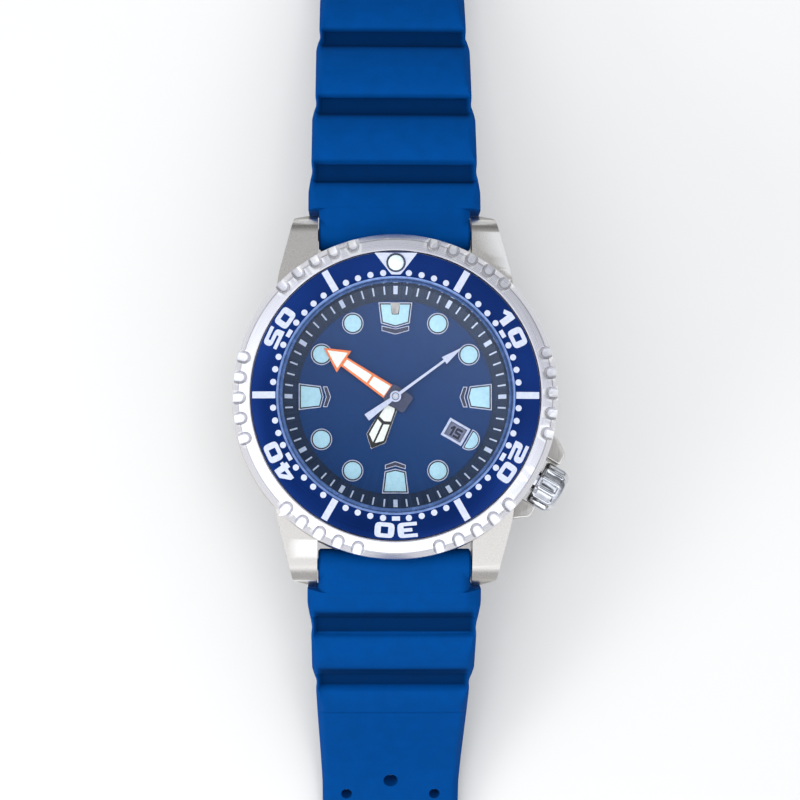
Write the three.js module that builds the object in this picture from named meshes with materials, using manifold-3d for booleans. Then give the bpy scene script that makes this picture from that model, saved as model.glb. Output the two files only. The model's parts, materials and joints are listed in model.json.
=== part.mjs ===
// A 44 mm dive watch: solar quartz movement, date, turning bezel and rubber strap, standing open on a table.
// Millimetres. +Z points out of the dial, +Y towards 12 o'clock and +X towards 3 o'clock.
// The origin is the centre of the case back's outer face. Each piece is one named mesh.

import * as THREE from 'three';
import { mergeVertices } from 'three/addons/utils/BufferGeometryUtils.js';
import Module from 'manifold-3d';

const wasm = await Module();
wasm.setup();

// ---------------------------------------------------------------- driving dimensions

const CASE = { radius: 22, bottom: 0.6, shoulder: 7.3, bore: 15.3, neck: 17.3, neckTop: 9.5 };
const LUG = { inside: 10.15, outside: 14.8, tip: 24.5 };
const BAR = { y: 21.8, z: 3.0, radius: 0.9, tipRadius: 0.55, halfLength: 10.1, tipEnd: 11.6 };
const BACK = { radius: 17.9, thickness: 1.1, notches: 6 };
const BEZEL = { radius: 21.2, bottom: 7.75, top: 10.75, bore: 17.6, floor: 10.05, recess: 18.8 };
const SCOOP = { groups: 6, perGroup: 5, pitch: 7.5, width: 1.6, inner: 19.3, bottom: 8.7 };
const INSERT = { inside: 15.4, outside: 18.7 };
const PIP = { radius: 1.13, at: 17.25 };
const CRYSTAL = { radius: 15.1, bottom: 8.0, top: 11.1, bevel: 0.4 };
const DIAL = { radius: 14.9, bottom: 5.92, top: 6.22, visible: 12.75, hole: 1.0 };
const MARKER = { bottom: 6.25, base: 6.32, top: 6.6, dotRadius: 1.4, dotAt: 11 };
const DATE = { angle: -30, at: 9.1, length: 2.4, height: 1.9, frameLength: 3.07, frameHeight: 2.55 };
const CROWN = { angle: -30, z: 3.8, radius: 3, inner: 21.6, outer: 25.2, pull: 1.8, flutes: 12 };
const PLATE = { radius: 12.9, bottom: 4, top: 5 };
const BRIDGE = { bottom: 1.55, top: 2.05 };
const ARBOR = { radius: 0.12, bottom: 1.7, hole: 0.17 };

const STRAP = { endRadius: 2.1, insideHalf: 9.95, tailHalf: 9.05, drop: 24 };
const LONG = { length: 124, flatFrom: 48, grooves: [8.1, 17.3] };
const SHORT = { length: 82, flatFrom: 64, lift: 1.45, grooves: [8.85, 19.3, 30.4] };
const GROOVE = { depth: 1.0, floor: 1.8, top: 2.6 };
const HOLES = { first: 36.4, pitch: 6.5, count: 11, radius: 1.1 };
const KEEPER = { at: 70, length: 7, wall: 1.3, clearance: 0.12, halfInside: 9.3, innerHeight: 5.9 };
const BUCKLE = { half: 11.4, windowHalf: 9.35, reach: 14.6, barInner: 10.8, pinRadius: 0.75 };

// Hand directions, in degrees clockwise from 12 o'clock.
const TIME = { hour: 205.0, minute: 304.2, second: 53.6 };

const RING = 40;
const MIDDLE = 24;
const SMALL = 12;
const TINY = 8;

// ---------------------------------------------------------------- materials

function finish(color, roughness, metalness, opacity = 1) {
  return new THREE.MeshStandardMaterial({
    color, roughness, metalness, opacity, transparent: opacity < 1, flatShading: true,
  });
}

const satinSteel = finish('#b4aea6', 0.38, 1);
const polishedSteel = finish('#d4d6da', 0.12, 1);
const blueInsert = finish('#1f2f86', 0.3, 0.6);
const glass = finish('#e8f0ff', 0.03, 0, 0.25);
const blackRubber = finish('#16171a', 0.7, 0);
const blueStrap = finish('#0b4a96', 0.62, 0);
const dialBlue = finish('#1c3c7c', 0.4, 0.3);
const chapterBlue = finish('#24405c', 0.45, 0.3);
const lume = finish('#b5dfe8', 0.6, 0);
const handWhite = finish('#eef3ea', 0.5, 0);
const handOrange = finish('#f0834a', 0.5, 0);
const brass = finish('#b98f45', 0.3, 1);
const nickel = finish('#a9a69c', 0.3, 1);
const whitePlastic = finish('#dcdcd8', 0.6, 0);
const boardGreen = finish('#1f5a3a', 0.6, 0);
const copper = finish('#b3642e', 0.35, 0.9);
const cellDark = finish('#151a2c', 0.25, 0.2);

// ---------------------------------------------------------------- geometry helpers

const rad = THREE.MathUtils.degToRad;
const polar = (radius, degrees) => [radius * Math.cos(rad(degrees)), radius * Math.sin(rad(degrees))];

function signedVolume(geometry) {
  const p = geometry.attributes.position;
  const index = geometry.index.array;
  const corner = [new THREE.Vector3(), new THREE.Vector3(), new THREE.Vector3()];
  let sum = 0;
  for (let i = 0; i < index.length; i += 3) {
    corner.forEach((v, k) => v.fromBufferAttribute(p, index[i + k]));
    sum += corner[0].dot(corner[1].clone().cross(corner[2]));
  }
  return sum / 6;
}

// One closed skin: corners shared, slivers dropped and faces pointing out.
function closed(geometry) {
  const bare = new THREE.BufferGeometry();
  bare.setAttribute('position', geometry.attributes.position.clone());
  bare.setIndex(geometry.index);
  const welded = mergeVertices(bare, 1e-4);
  const index = welded.index.array;
  const kept = [];
  for (let i = 0; i < index.length; i += 3) {
    const [a, b, c] = index.slice(i, i + 3);
    if (a !== b && b !== c && c !== a) {
      kept.push(a, b, c);
    }
  }
  welded.setIndex(kept);
  if (signedVolume(welded) < 0) {
    kept.reverse();
    welded.setIndex(kept);
  }
  return welded;
}

function toSolid(geometry) {
  const skin = closed(geometry);
  return new wasm.Manifold(new wasm.Mesh({
    numProp: 3,
    vertProperties: new Float32Array(skin.attributes.position.array),
    triVerts: new Uint32Array(skin.index.array),
  }));
}

function fromSolid(solid) {
  const mesh = solid.getMesh();
  const geometry = new THREE.BufferGeometry();
  geometry.setAttribute('position', new THREE.BufferAttribute(mesh.vertProperties, 3));
  geometry.setIndex(new THREE.BufferAttribute(mesh.triVerts, 1));
  return geometry;
}

function join(first, ...others) {
  return fromSolid(others.reduce((whole, piece) => whole.add(toSolid(piece)), toSolid(first)));
}

function cut(first, ...tools) {
  return fromSolid(tools.reduce((whole, tool) => whole.subtract(toSolid(tool)), toSolid(first)));
}

function common(first, second) {
  return fromSolid(toSolid(first).intersect(toSolid(second)));
}

// A plate with straight sides from an outline of [x, y] points.
function plate(outline, bottom, top, holes = []) {
  const shape = new THREE.Shape(outline.map(([x, y]) => new THREE.Vector2(x, y)));
  for (const hole of holes) {
    shape.holes.push(new THREE.Path(hole.map(([x, y]) => new THREE.Vector2(x, y))));
  }
  const geometry = new THREE.ExtrudeGeometry(shape, { depth: top - bottom, bevelEnabled: false });
  return geometry.translate(0, 0, bottom);
}

// A turned piece about Z from a profile of [radius, z] points, off the axis or from axis to axis.
function turned(profile, segments = RING) {
  const onAxis = profile[0][0] === 0;
  const ring = onAxis ? profile : [...profile, profile[0]];
  const points = ring.map(([r, z]) => new THREE.Vector2(r, z));
  return new THREE.LatheGeometry(points, segments).rotateX(Math.PI / 2);
}

const disc = (radius, bottom, top, segments = MIDDLE) =>
  turned([[0, bottom], [radius, bottom], [radius, top], [0, top]], segments);

const tube = (inner, outer, bottom, top, segments = MIDDLE) =>
  turned([[inner, bottom], [outer, bottom], [outer, top], [inner, top]], segments);

const block = (x0, x1, y0, y1, z0, z1) =>
  new THREE.BoxGeometry(x1 - x0, y1 - y0, z1 - z0)
    .translate((x0 + x1) / 2, (y0 + y1) / 2, (z0 + z1) / 2);

// A round bar along X, centred on y and z.
const crossBar = (radius, x0, x1, y, z, segments = SMALL) =>
  disc(radius, x0, x1, segments).rotateY(Math.PI / 2).translate(0, y, z);

const circle = (radius, cx, cy, segments = TINY) =>
  Array.from({ length: segments }, (_, i) => {
    const [x, y] = polar(radius, (i * 360) / segments);
    return [cx + x, cy + y];
  });

const mirrored = (half) => [...half, ...half.filter(([, v]) => v !== 0).reverse().map(([u, v]) => [u, -v])];

// A point u out along a direction and v to its left.
function outAlong(degrees, u, v = 0) {
  const [x, y] = polar(1, degrees);
  return [u * x - v * y, u * y + v * x];
}

// A closed skin over cross-sections of equal point count; the first and last are capped.
function loft(sections) {
  const size = sections[0].length;
  const corners = sections.flat(2);
  const faces = [];
  for (let i = 0; i + 1 < sections.length; i += 1) {
    for (let k = 0; k < size; k += 1) {
      const a = i * size + k;
      const b = i * size + ((k + 1) % size);
      faces.push(a, b, b + size, a, b + size, a + size);
    }
  }
  const last = (sections.length - 1) * size;
  for (let k = 1; k + 1 < size; k += 1) {
    faces.push(0, k + 1, k, last, last + k, last + k + 1);
  }
  const geometry = new THREE.BufferGeometry();
  geometry.setAttribute('position', new THREE.Float32BufferAttribute(corners, 3));
  geometry.setIndex(faces);
  return geometry;
}

const watch = new THREE.Group();
const rest = new THREE.Group();
watch.add(rest);

function add(name, geometry, material) {
  const mesh = new THREE.Mesh(closed(geometry), material);
  mesh.name = name;
  rest.add(mesh);
}

// ---------------------------------------------------------------- case

// Geometry built with +Z along the crown's axis, laid down pointing out of the case at the crown.
const alongCrown = (geometry) =>
  geometry.rotateY(Math.PI / 2).rotateZ(rad(CROWN.angle)).translate(0, 0, CROWN.z);

const atCrown = (geometry) => geometry.rotateZ(rad(CROWN.angle));

function lug(sideX, sideY) {
  const profile = [
    [12, 1.0], [20, 0.6], [23.2, 0.9], [LUG.tip, 1.9], [LUG.tip, 2.6],
    [24, 3.9], [22.6, 5.1], [20, 6.2], [17.5, 6.8], [12, 7.2],
  ];
  const plan = [
    [LUG.inside, 12], [LUG.inside, LUG.tip], [10.9, LUG.tip], [13.7, 23.7],
    [LUG.outside, 15.6], [LUG.outside, 12],
  ];
  const side = plate(profile, LUG.inside, LUG.outside)
    .rotateX(Math.PI / 2).rotateZ(Math.PI / 2);
  const flat = plate(plan, 0, 8);
  return common(side, flat).scale(sideX, sideY, 1);
}

function crownGuard(side) {
  const plan = [[17, 3.15], [23.1, 3.15], [23.1, 4.7], [21.1, 6.1], [17, 6.1]];
  return atCrown(plate(plan.map(([u, v]) => [u, v * side]), 1.3, 6.5));
}

function caseMiddle() {
  const { radius, bottom, shoulder, bore, neck, neckTop } = CASE;
  const outside = turned([
    [0, bottom], [20.2, bottom], [21.6, 1.6], [radius, 2.6], [radius, 5.9], [21.6, 7.1],
    [21.2, shoulder], [neck, shoulder], [neck, neckTop], [0, neckTop],
  ]);
  // From the case back's seat and thread up to the crystal's ledge.
  const inside = turned([
    [0, -1], [18, -1], [18, 1.15], [17.9, 1.15], [17.9, 1.85], [17, 1.85], [17, 2.3], [bore, 2.3],
    [bore, 7.4], [14.75, 7.4], [14.75, 7.95], [15.55, 7.95], [15.55, 12], [0, 12],
  ]);
  const lugs = [[1, 1], [1, -1], [-1, 1], [-1, -1]].map(([x, y]) => lug(x, y));
  const half = LUG.inside;
  const strapSeats = [1, -1].flatMap((end) => [
    crossBar(2.4, -half, half, end * BAR.y, BAR.z, MIDDLE),
    block(-half, half, Math.min(end * BAR.y, end * 26), Math.max(end * BAR.y, end * 26), -1, 5.4),
    block(-half, half, Math.min(end * 19.4, end * 26), Math.max(end * 19.4, end * 26), -1, BAR.z),
    crossBar(0.65, -11.9, 0.2 - half, end * BAR.y, BAR.z, SMALL),
    crossBar(0.65, half - 0.2, 11.9, end * BAR.y, BAR.z, SMALL),
  ]);
  const crownSeat = atCrown(block(21.4, 26, -3.15, 3.15, -1, 7.6));
  const crownHole = alongCrown(disc(1.45, 14, 23, SMALL));
  return cut(join(outside, ...lugs, crownGuard(1), crownGuard(-1)),
    inside, ...strapSeats, crownSeat, crownHole);
}

function caseBack() {
  const { radius, thickness } = BACK;
  const body = turned([
    [0, 0], [radius - 0.3, 0], [radius, 0.3], [radius, thickness], [16.9, thickness],
    [16.9, 2.2], [16, 2.2], [16, thickness], [0, thickness],
  ]);
  const notches = Array.from({ length: BACK.notches }, (_, i) =>
    block(radius - 1.2, radius + 1, -1.5, 1.5, -1, 0.7).rotateZ(rad((i * 360) / BACK.notches)));
  return cut(body, ...notches);
}

add('case_middle', caseMiddle(), satinSteel);
add('case_back', caseBack(), satinSteel);
add('case_back_gasket', tube(17.05, 17.85, 1.15, 1.8, RING), blackRubber);

const { radius: crystalRadius, bevel } = CRYSTAL;
add('crystal', turned([
  [0, CRYSTAL.bottom], [crystalRadius, CRYSTAL.bottom], [crystalRadius, CRYSTAL.top - bevel],
  [crystalRadius - bevel, CRYSTAL.top], [0, CRYSTAL.top],
]), glass);
add('crystal_gasket', tube(15.15, 15.5, CRYSTAL.bottom, 9.4, RING), blackRubber);
add('chapter_ring', turned([
  [DIAL.visible, 6.27], [15.2, 6.27], [15.2, 7.35], [14.65, 7.35], [14.65, 7.9], [DIAL.visible, 6.5],
]), chapterBlue);

// ---------------------------------------------------------------- bezel

// One thumb scoop of the bezel: round towards the centre, open at the rim.
function scoop(degrees) {
  const half = SCOOP.width / 2;
  const outline = [
    [SCOOP.inner, half * 0.4], [SCOOP.inner + 0.6, half], [22, half],
    [22, -half], [SCOOP.inner + 0.6, -half], [SCOOP.inner, -half * 0.4],
  ];
  return plate(outline, SCOOP.bottom, 12).rotateZ(rad(degrees));
}

function bezel() {
  const { radius, bottom, top, bore, floor, recess } = BEZEL;
  const ring = turned([
    [15.5, 9.65], [bore, 9.65], [bore, bottom], [radius - 0.25, bottom], [radius, bottom + 0.25],
    [radius, 9.6], [radius - 0.25, 10.2], [20.3, top], [recess, top], [recess, floor], [15.5, floor],
  ]);
  const middle = (SCOOP.perGroup - 1) / 2;
  const scoops = [];
  for (let group = 0; group < SCOOP.groups; group += 1) {
    for (let i = 0; i < SCOOP.perGroup; i += 1) {
      scoops.push(scoop(group * (360 / SCOOP.groups) + (i - middle) * SCOOP.pitch));
    }
  }
  return cut(ring, ...scoops);
}

function bezelInsert() {
  const ring = turned([
    [INSERT.inside, 10.1], [INSERT.outside, 10.1], [INSERT.outside, 10.6], [INSERT.inside, 10.85],
  ]);
  return cut(ring, disc(PIP.radius + 0.05, 9.5, 11.5).translate(0, PIP.at, 0));
}

function clickSpring() {
  const outer = [];
  const inner = [];
  for (let a = -150; a <= 150; a += 15) {
    outer.push(polar(20.2, a));
    inner.unshift(polar(17.9, a));
  }
  return plate([...outer, ...inner], 7.36, 7.6);
}

add('bezel', bezel(), satinSteel);
add('bezel_insert', bezelInsert(), blueInsert);
add('bezel_pip', turned([[0, 10.14], [PIP.radius, 10.14], [PIP.radius, 10.7], [0.7, 10.95], [0, 11]],
  MIDDLE).translate(0, PIP.at, 0), lume);
add('bezel_click_spring', clickSpring(), polishedSteel);

// ---------------------------------------------------------------- dial and markers

// The window's rectangle, its long side along the radius.
function dateRectangle(length, height) {
  const corners = [[-1, -1], [1, -1], [1, 1], [-1, 1]];
  return corners.map(([u, v]) => outAlong(DATE.angle, DATE.at + (u * length) / 2, (v * height) / 2));
}

function dial() {
  const hole = circle(DIAL.hole, 0, 0, SMALL);
  const window = dateRectangle(DATE.length, DATE.height);
  return plate(circle(DIAL.radius, 0, 0, RING), DIAL.bottom, DIAL.top, [hole, window]);
}

function dotMarker(hour) {
  const [x, y] = polar(MARKER.dotAt, 90 - hour * 30);
  const r = MARKER.dotRadius;
  const { bottom, top } = MARKER;
  return turned([[0, bottom], [r, bottom], [r, top - 0.05], [r - 0.2, top], [0, top]], SMALL)
    .translate(x, y, 0);
}

// A trapezoid marker with its separate chevron below it, both on one thin foot.
function barMarker(hour, { outer, outerHalf, corner, cornerHalf, point, chevron, notch }) {
  const body = mirrored([[outer, outerHalf], [corner, cornerHalf], [point, 0]]);
  const v = mirrored([[chevron.outer, chevron.half], [chevron.inner, chevron.half], [chevron.tip, 0]]);
  v.push([chevron.valley, 0]);
  const foot = mirrored([[corner + 0.4, 0.5], [chevron.inner - 0.2, 0.5]]);
  let marker = join(
    plate(body, MARKER.bottom, MARKER.top),
    plate(v, MARKER.bottom, MARKER.top),
    plate(foot, MARKER.bottom, MARKER.base),
  );
  if (notch) {
    const slot = mirrored([[outer + 1, notch.outerHalf], [outer - notch.depth, notch.innerHalf]]);
    marker = cut(marker, plate(slot, MARKER.base, MARKER.top + 1));
  }
  return marker.rotateZ(rad(90 - hour * 30));
}

const quarterMarker = {
  outer: 12.6, outerHalf: 1.74, corner: 9.72, cornerHalf: 1.4, point: 9.36,
  chevron: { outer: 9.45, half: 1.35, inner: 8.87, tip: 8.4, valley: 9.05 },
};
const twelveMarker = {
  outer: 12.4, outerHalf: 2.22, corner: 9.65, cornerHalf: 1.88, point: 9.1,
  chevron: { outer: 9.35, half: 1.8, inner: 8.67, tip: 8.19, valley: 8.95 },
  notch: { outerHalf: 0.64, innerHalf: 0.35, depth: 1.5 },
};

// The window's frame and the shortened dot beside it, on one thin foot.
function dateFrame() {
  const frame = plate(dateRectangle(DATE.frameLength, DATE.frameHeight), MARKER.bottom, 6.5,
    [dateRectangle(DATE.length, DATE.height)]);
  const flatAt = 10.75;
  const start = Math.acos((flatAt - MARKER.dotAt) / MARKER.dotRadius);
  const steps = 10;
  const half = Array.from({ length: steps + 1 }, (_, i) => {
    const a = -start + (2 * start * i) / steps;
    return outAlong(DATE.angle, MARKER.dotAt + MARKER.dotRadius * Math.cos(a),
      MARKER.dotRadius * Math.sin(a));
  });
  const foot = [[10.4, -0.5], [11, -0.5], [11, 0.5], [10.4, 0.5]];
  const footOutline = foot.map(([u, v]) => outAlong(DATE.angle, u, v));
  return join(frame, plate(half, MARKER.bottom, MARKER.top),
    plate(footOutline, MARKER.bottom, MARKER.base));
}

add('dial', dial(), dialBlue);
add('marker_12', barMarker(0, twelveMarker), lume);
for (const hour of [3, 6, 9]) {
  add(`marker_${hour}`, barMarker(hour, quarterMarker), lume);
}
for (const hour of [1, 2, 5, 7, 8, 10, 11]) {
  add(`marker_${hour}`, dotMarker(hour), lume);
}
add('date_frame', dateFrame(), polishedSteel);
add('solar_cell', plate(circle(14.6, 0, 0, RING), 5.74, 5.86,
  [circle(DIAL.hole, 0, 0, SMALL), dateRectangle(DATE.length + 0.3, DATE.height + 0.3)]), cellDark);

// ---------------------------------------------------------------- hands

// A hand lies along its direction, clockwise degrees from 12, with a round hub round its hole.
function hand(direction, outline, hub, hole, bottom, top) {
  const body = join(plate(mirrored(outline), bottom, top), disc(hub, bottom, top, MIDDLE));
  return cut(body, disc(hole, bottom - 1, top + 1, SMALL)).rotateZ(rad(90 - direction));
}

add('hour_hand', hand(TIME.hour,
  [[7.5, 0], [6, 1.37], [3.4, 1.12], [1.8, 0.97], [0, 0.9]], 1.3, 0.78, 6.5, 6.66), handWhite);
add('minute_hand', hand(TIME.minute,
  [[11.3, 0], [8.1, 1.7], [8.1, 0.68], [1.2, 1.03], [0.9, 1.3], [-1.55, 1.3], [-2.05, 0.8]],
  1.3, 0.46, 6.96, 7.1), handOrange);
add('second_hand', hand(TIME.second,
  [[10.8, 0], [7.9, 0.55], [7.9, 0.15], [-0.5, 0.2], [-4.65, 0.5]], 0.73, 0.22, 7.45, 7.57),
polishedSteel);

// ---------------------------------------------------------------- gear train

// Where each arbor stands, as a distance and direction from its neighbour.
const CENTRE = [0, 0];
const THIRD = polar(3.06, 60);
const FIFTH = polar(3.06, -90);
const ROTOR = [FIFTH[0] + polar(2.31, -120)[0], FIFTH[1] + polar(2.31, -120)[1]];
const MINUTE = polar(2.88, 170);
const DATE_WHEEL = polar(5.1, 75);

const facing = (from, to) => THREE.MathUtils.radToDeg(Math.atan2(to[1] - from[1], to[0] - from[0]));

// Teeth with one on the line towards the mate, or with a gap there.
function teeth(count, size, towards, gap) {
  const pitch = (count * size) / 2;
  const step = 360 / count;
  const first = towards + (gap ? step / 2 : 0);
  const outline = [];
  for (let i = 0; i < count; i += 1) {
    const middle = first + i * step;
    if (gap) {
      outline.push(polar(pitch - size, middle - step / 2), polar(pitch + size * 0.9, middle));
    } else {
      outline.push(polar(pitch - size, middle - step * 0.3), polar(pitch + size * 0.8, middle - step * 0.1));
      outline.push(polar(pitch + size * 0.8, middle + step * 0.1), polar(pitch - size, middle + step * 0.3));
    }
  }
  return outline;
}

const gear = (count, size, at, mate, bottom, top) =>
  plate(teeth(count, size, facing(at, mate), true), bottom, top).translate(at[0], at[1], 0);

const pinion = (count, size, at, mate, bottom, top) =>
  plate(teeth(count, size, facing(at, mate), false), bottom, top).translate(at[0], at[1], 0);

const arbor = (at, bottom, top, radius = ARBOR.radius) =>
  disc(radius, bottom, top, TINY).translate(at[0], at[1], 0);

add('fourth_wheel', join(
  arbor(CENTRE, ARBOR.bottom, 7.62, 0.19),
  gear(30, 0.17, CENTRE, FIFTH, 2.2, 2.38),
  pinion(6, 0.12, CENTRE, THIRD, 2.5, 2.8),
), brass);

add('third_wheel', join(
  arbor(THIRD, ARBOR.bottom, 4.3),
  gear(45, 0.12, THIRD, CENTRE, 2.55, 2.73),
  pinion(6, 3.06 / 27, THIRD, CENTRE, 2.85, 3.3),
), brass);

add('centre_wheel', cut(join(
  disc(0.42, 2.95, 7.15, SMALL),
  gear(48, 3.06 / 27, CENTRE, THIRD, 3.0, 3.16),
  pinion(8, 0.18, CENTRE, MINUTE, 5.08, 5.3),
), disc(0.27, 2, 8, TINY)), brass);

add('fifth_wheel', join(
  arbor(FIFTH, ARBOR.bottom, 4.3),
  gear(36, 0.11, FIFTH, ROTOR, 3.5, 3.66),
  pinion(6, 0.17, FIFTH, CENTRE, 2.12, 2.44),
), brass);

add('rotor', join(
  arbor(ROTOR, ARBOR.bottom, 4.2),
  disc(0.7, 2.2, 3.1, SMALL).translate(ROTOR[0], ROTOR[1], 0),
  pinion(6, 0.11, ROTOR, FIFTH, 3.4, 3.8),
), nickel);

add('minute_wheel', join(
  arbor(MINUTE, 4.3, 5.12),
  gear(24, 0.18, MINUTE, CENTRE, 5.1, 5.3),
  pinion(6, 0.192, MINUTE, CENTRE, 5.29, 5.49),
), brass);

add('hour_wheel', cut(join(
  disc(0.72, 5.36, 6.7, SMALL),
  gear(24, 0.192, CENTRE, MINUTE, 5.36, 5.49),
  pinion(12, 5.1 / 18, CENTRE, DATE_WHEEL, 5.48, 5.63),
), disc(0.5, 5, 7, SMALL)), brass);

// The finger stays just short of the date ring's teeth at every angle.
const fingerAt = outAlong(75, 5.1 - 2.3);
add('date_driving_wheel', join(
  arbor(DATE_WHEEL, 4.3, 5.55, 0.16),
  gear(24, 5.1 / 18, DATE_WHEEL, CENTRE, 5.53, 5.63),
  arbor(fingerAt, 5.15, 5.54, 0.15),
), whitePlastic);

function dateRing() {
  const inner = [];
  for (let i = 0; i < 31; i += 1) {
    inner.push(polar(7.65, (i * 360) / 31), polar(8.0, ((i + 0.5) * 360) / 31));
  }
  return plate(circle(10.9, 0, 0, RING), 5.1, 5.35, [inner]);
}

add('date_ring', dateRing(), whitePlastic);

// ---------------------------------------------------------------- movement

const CLUTCH = { start: 8.2, end: 9.2 };
const GROOVE_AT = 10.4;
const LEVER = { arm: 3.5, pinRadius: 0.2, pinV: 0.58 };
const LEVER_PIVOT = [
  GROOVE_AT + CROWN.pull / 2,
  LEVER.pinV + Math.sqrt(LEVER.arm ** 2 - (CROWN.pull / 2) ** 2),
];
const leverPivot = outAlong(CROWN.angle, ...LEVER_PIVOT);
const SCREWS = [[-1.5, 5.6], [3.3, -3.0]];
const PILLAR = 0.62;

function mainPlate() {
  const holes = [
    circle(0.55, 0, 0, SMALL),
    circle(0.45, ...leverPivot, TINY),
    ...[THIRD, FIFTH, ROTOR, MINUTE].map(([x, y]) => circle(ARBOR.hole, x, y)),
    circle(0.22, ...DATE_WHEEL),
  ];
  const body = plate(circle(PLATE.radius, 0, 0, RING), PLATE.bottom, PLATE.top, holes);
  const stemSlot = atCrown(block(6.6, 14, -0.6, 0.6, 3, 4.5));
  const clutchSlot = atCrown(block(CLUTCH.start - 0.3, CLUTCH.end + 0.3, -1.35, 1.35, 3, 6));
  const leverSlot = atCrown(block(9.9, 12.8, 0, 1.1, 3, 4.5));
  return cut(body, stemSlot, clutchSlot, leverSlot);
}

function trainBridge() {
  const outline = [
    [-2.4, 6.3], [-0.7, 6.4], [2.8, 3.6], [2.7, 1.2], [4.2, -2.2], [4.2, -3.8], [2.6, -4.2],
    [-0.4, -6.1], [-2, -6], [-2.1, -4.2], [-1.2, 0], [-1.2, 2.5],
  ];
  const holes = [THIRD, FIFTH, ROTOR].map(([x, y]) => circle(ARBOR.hole, x, y));
  holes.push(circle(0.26, 0, 0));
  const pillars = SCREWS.map(([x, y]) => disc(PILLAR, BRIDGE.bottom, 3.96, SMALL).translate(x, y, 0));
  const bores = SCREWS.map(([x, y]) => disc(0.34, 0, 3.2, TINY).translate(x, y, 0));
  return cut(join(plate(outline, BRIDGE.bottom, BRIDGE.top, holes), ...pillars), ...bores);
}

function bridgeScrew([x, y]) {
  const body = turned([[0, 1.25], [0.55, 1.25], [0.55, 1.53], [0.28, 1.53], [0.28, 3], [0, 3]], SMALL);
  return cut(body, block(-0.8, 0.8, -0.09, 0.09, 1, 1.37)).translate(x, y, 0);
}

const BATTERY_AT = polar(8.1, 150);

function batteryClamp() {
  const outline = [
    [-5.6, 1.38], [5.6, 1.38], [5.6, 3.95], [5.15, 3.95], [5.15, 1.53],
    [-5.15, 1.53], [-5.15, 3.95], [-5.6, 3.95],
  ];
  return plate(outline, -1, 1).rotateX(Math.PI / 2).rotateZ(rad(60))
    .translate(BATTERY_AT[0], BATTERY_AT[1], 0);
}

function circuitBoard() {
  const outer = [];
  const inner = [];
  for (let a = -2; a <= 98; a += 10) {
    outer.push(polar(12.6, a));
    inner.unshift(polar(6.8, a));
  }
  const chip = block(-1.1, 1.1, -1.1, 1.1, 3.1, 3.7).translate(...polar(8.6, 15), 0);
  return join(plate([...outer, ...inner], 3.65, 3.9), chip);
}

// The coil lies across the radius at this direction, with the stator's legs at its ends.
const COIL = { angle: -115, at: 9.6, z: 2.75, half: 4 };

const atCoil = (geometry) => geometry.rotateZ(rad(COIL.angle));

function coil() {
  const { half } = COIL;
  const profile = [
    [0, -half], [1.15, -half], [1.15, 0.3 - half], [0.95, 0.3 - half],
    [0.95, half - 0.3], [1.15, half - 0.3], [1.15, half], [0, half],
  ];
  return atCoil(turned(profile, SMALL).rotateX(Math.PI / 2).translate(COIL.at, 0, COIL.z));
}

// The plan is drawn with u outward past the coil and v across it.
function stator() {
  const outline = [
    [10.2, -5.2], [10.2, -4.1], [7.9, -4.1], [6.6, -2.5], [6.6, 0.3], [7.9, 4.1],
    [10.2, 4.1], [10.2, 5.2], [7, 5.2], [3.6, 0.4], [3.6, -2.6], [7, -5.2],
  ];
  const hole = disc(0.95, 2, 3.5, SMALL).translate(ROTOR[0], ROTOR[1], 0);
  return cut(atCoil(plate(outline, 2.47, 2.85)), hole);
}

add('main_plate', mainPlate(), brass);
add('train_bridge', trainBridge(), nickel);
SCREWS.forEach((at, i) => add(`bridge_screw_${i + 1}`, bridgeScrew(at), polishedSteel));
add('movement_holder', cut(tube(13.2, 15.1, 1.5, 5.7, RING), alongCrown(disc(0.75, 12, 16, SMALL))),
  whitePlastic);
add('battery', turned([
  [0, 1.65], [4.1, 1.65], [4.1, 1.85], [4.75, 1.85], [4.75, 3.75], [0, 3.75],
], MIDDLE).translate(BATTERY_AT[0], BATTERY_AT[1], 0), polishedSteel);
add('battery_clamp', batteryClamp(), nickel);
add('circuit_board', circuitBoard(), boardGreen);
add('quartz_oscillator', disc(0.7, -2.7, 2.7, SMALL).rotateX(Math.PI / 2)
  .translate(9.5, 0, 2.85).rotateZ(rad(50)), nickel);
add('coil', coil(), copper);
add('stator', stator(), nickel);

// ---------------------------------------------------------------- crown and setting work

function crown() {
  const { radius, inner, outer, flutes } = CROWN;
  const body = turned([
    [0, 24.4], [0.5, 24.4], [0.5, 23.5], [1.6, 23.5], [1.6, inner], [radius - 0.2, inner],
    [radius, inner + 0.3], [radius, outer - 0.7], [radius - 0.4, outer], [0, outer],
  ], MIDDLE);
  const cuts = Array.from({ length: flutes }, (_, i) =>
    disc(0.34, inner + 0.5, outer - 0.7, 6).translate(radius + 0.06, 0, 0)
      .rotateZ(((i + 0.5) * 2 * Math.PI) / flutes));
  return alongCrown(cut(body, ...cuts));
}

function stem() {
  const half = 0.35;
  return alongCrown(turned([
    [0, 6.9], [0.36, 6.9], [0.36, 9.7], [0.45, 9.7], [0.45, GROOVE_AT - half], [0.24, GROOVE_AT - half],
    [0.24, GROOVE_AT + half], [0.45, GROOVE_AT + half], [0.45, 24.3], [0, 24.3],
  ], SMALL));
}

function clutchWheel() {
  const outline = teeth(12, 0.16, 0, false);
  return alongCrown(plate(outline, CLUTCH.start, CLUTCH.end, [circle(0.44, 0, 0, SMALL)]));
}

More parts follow.
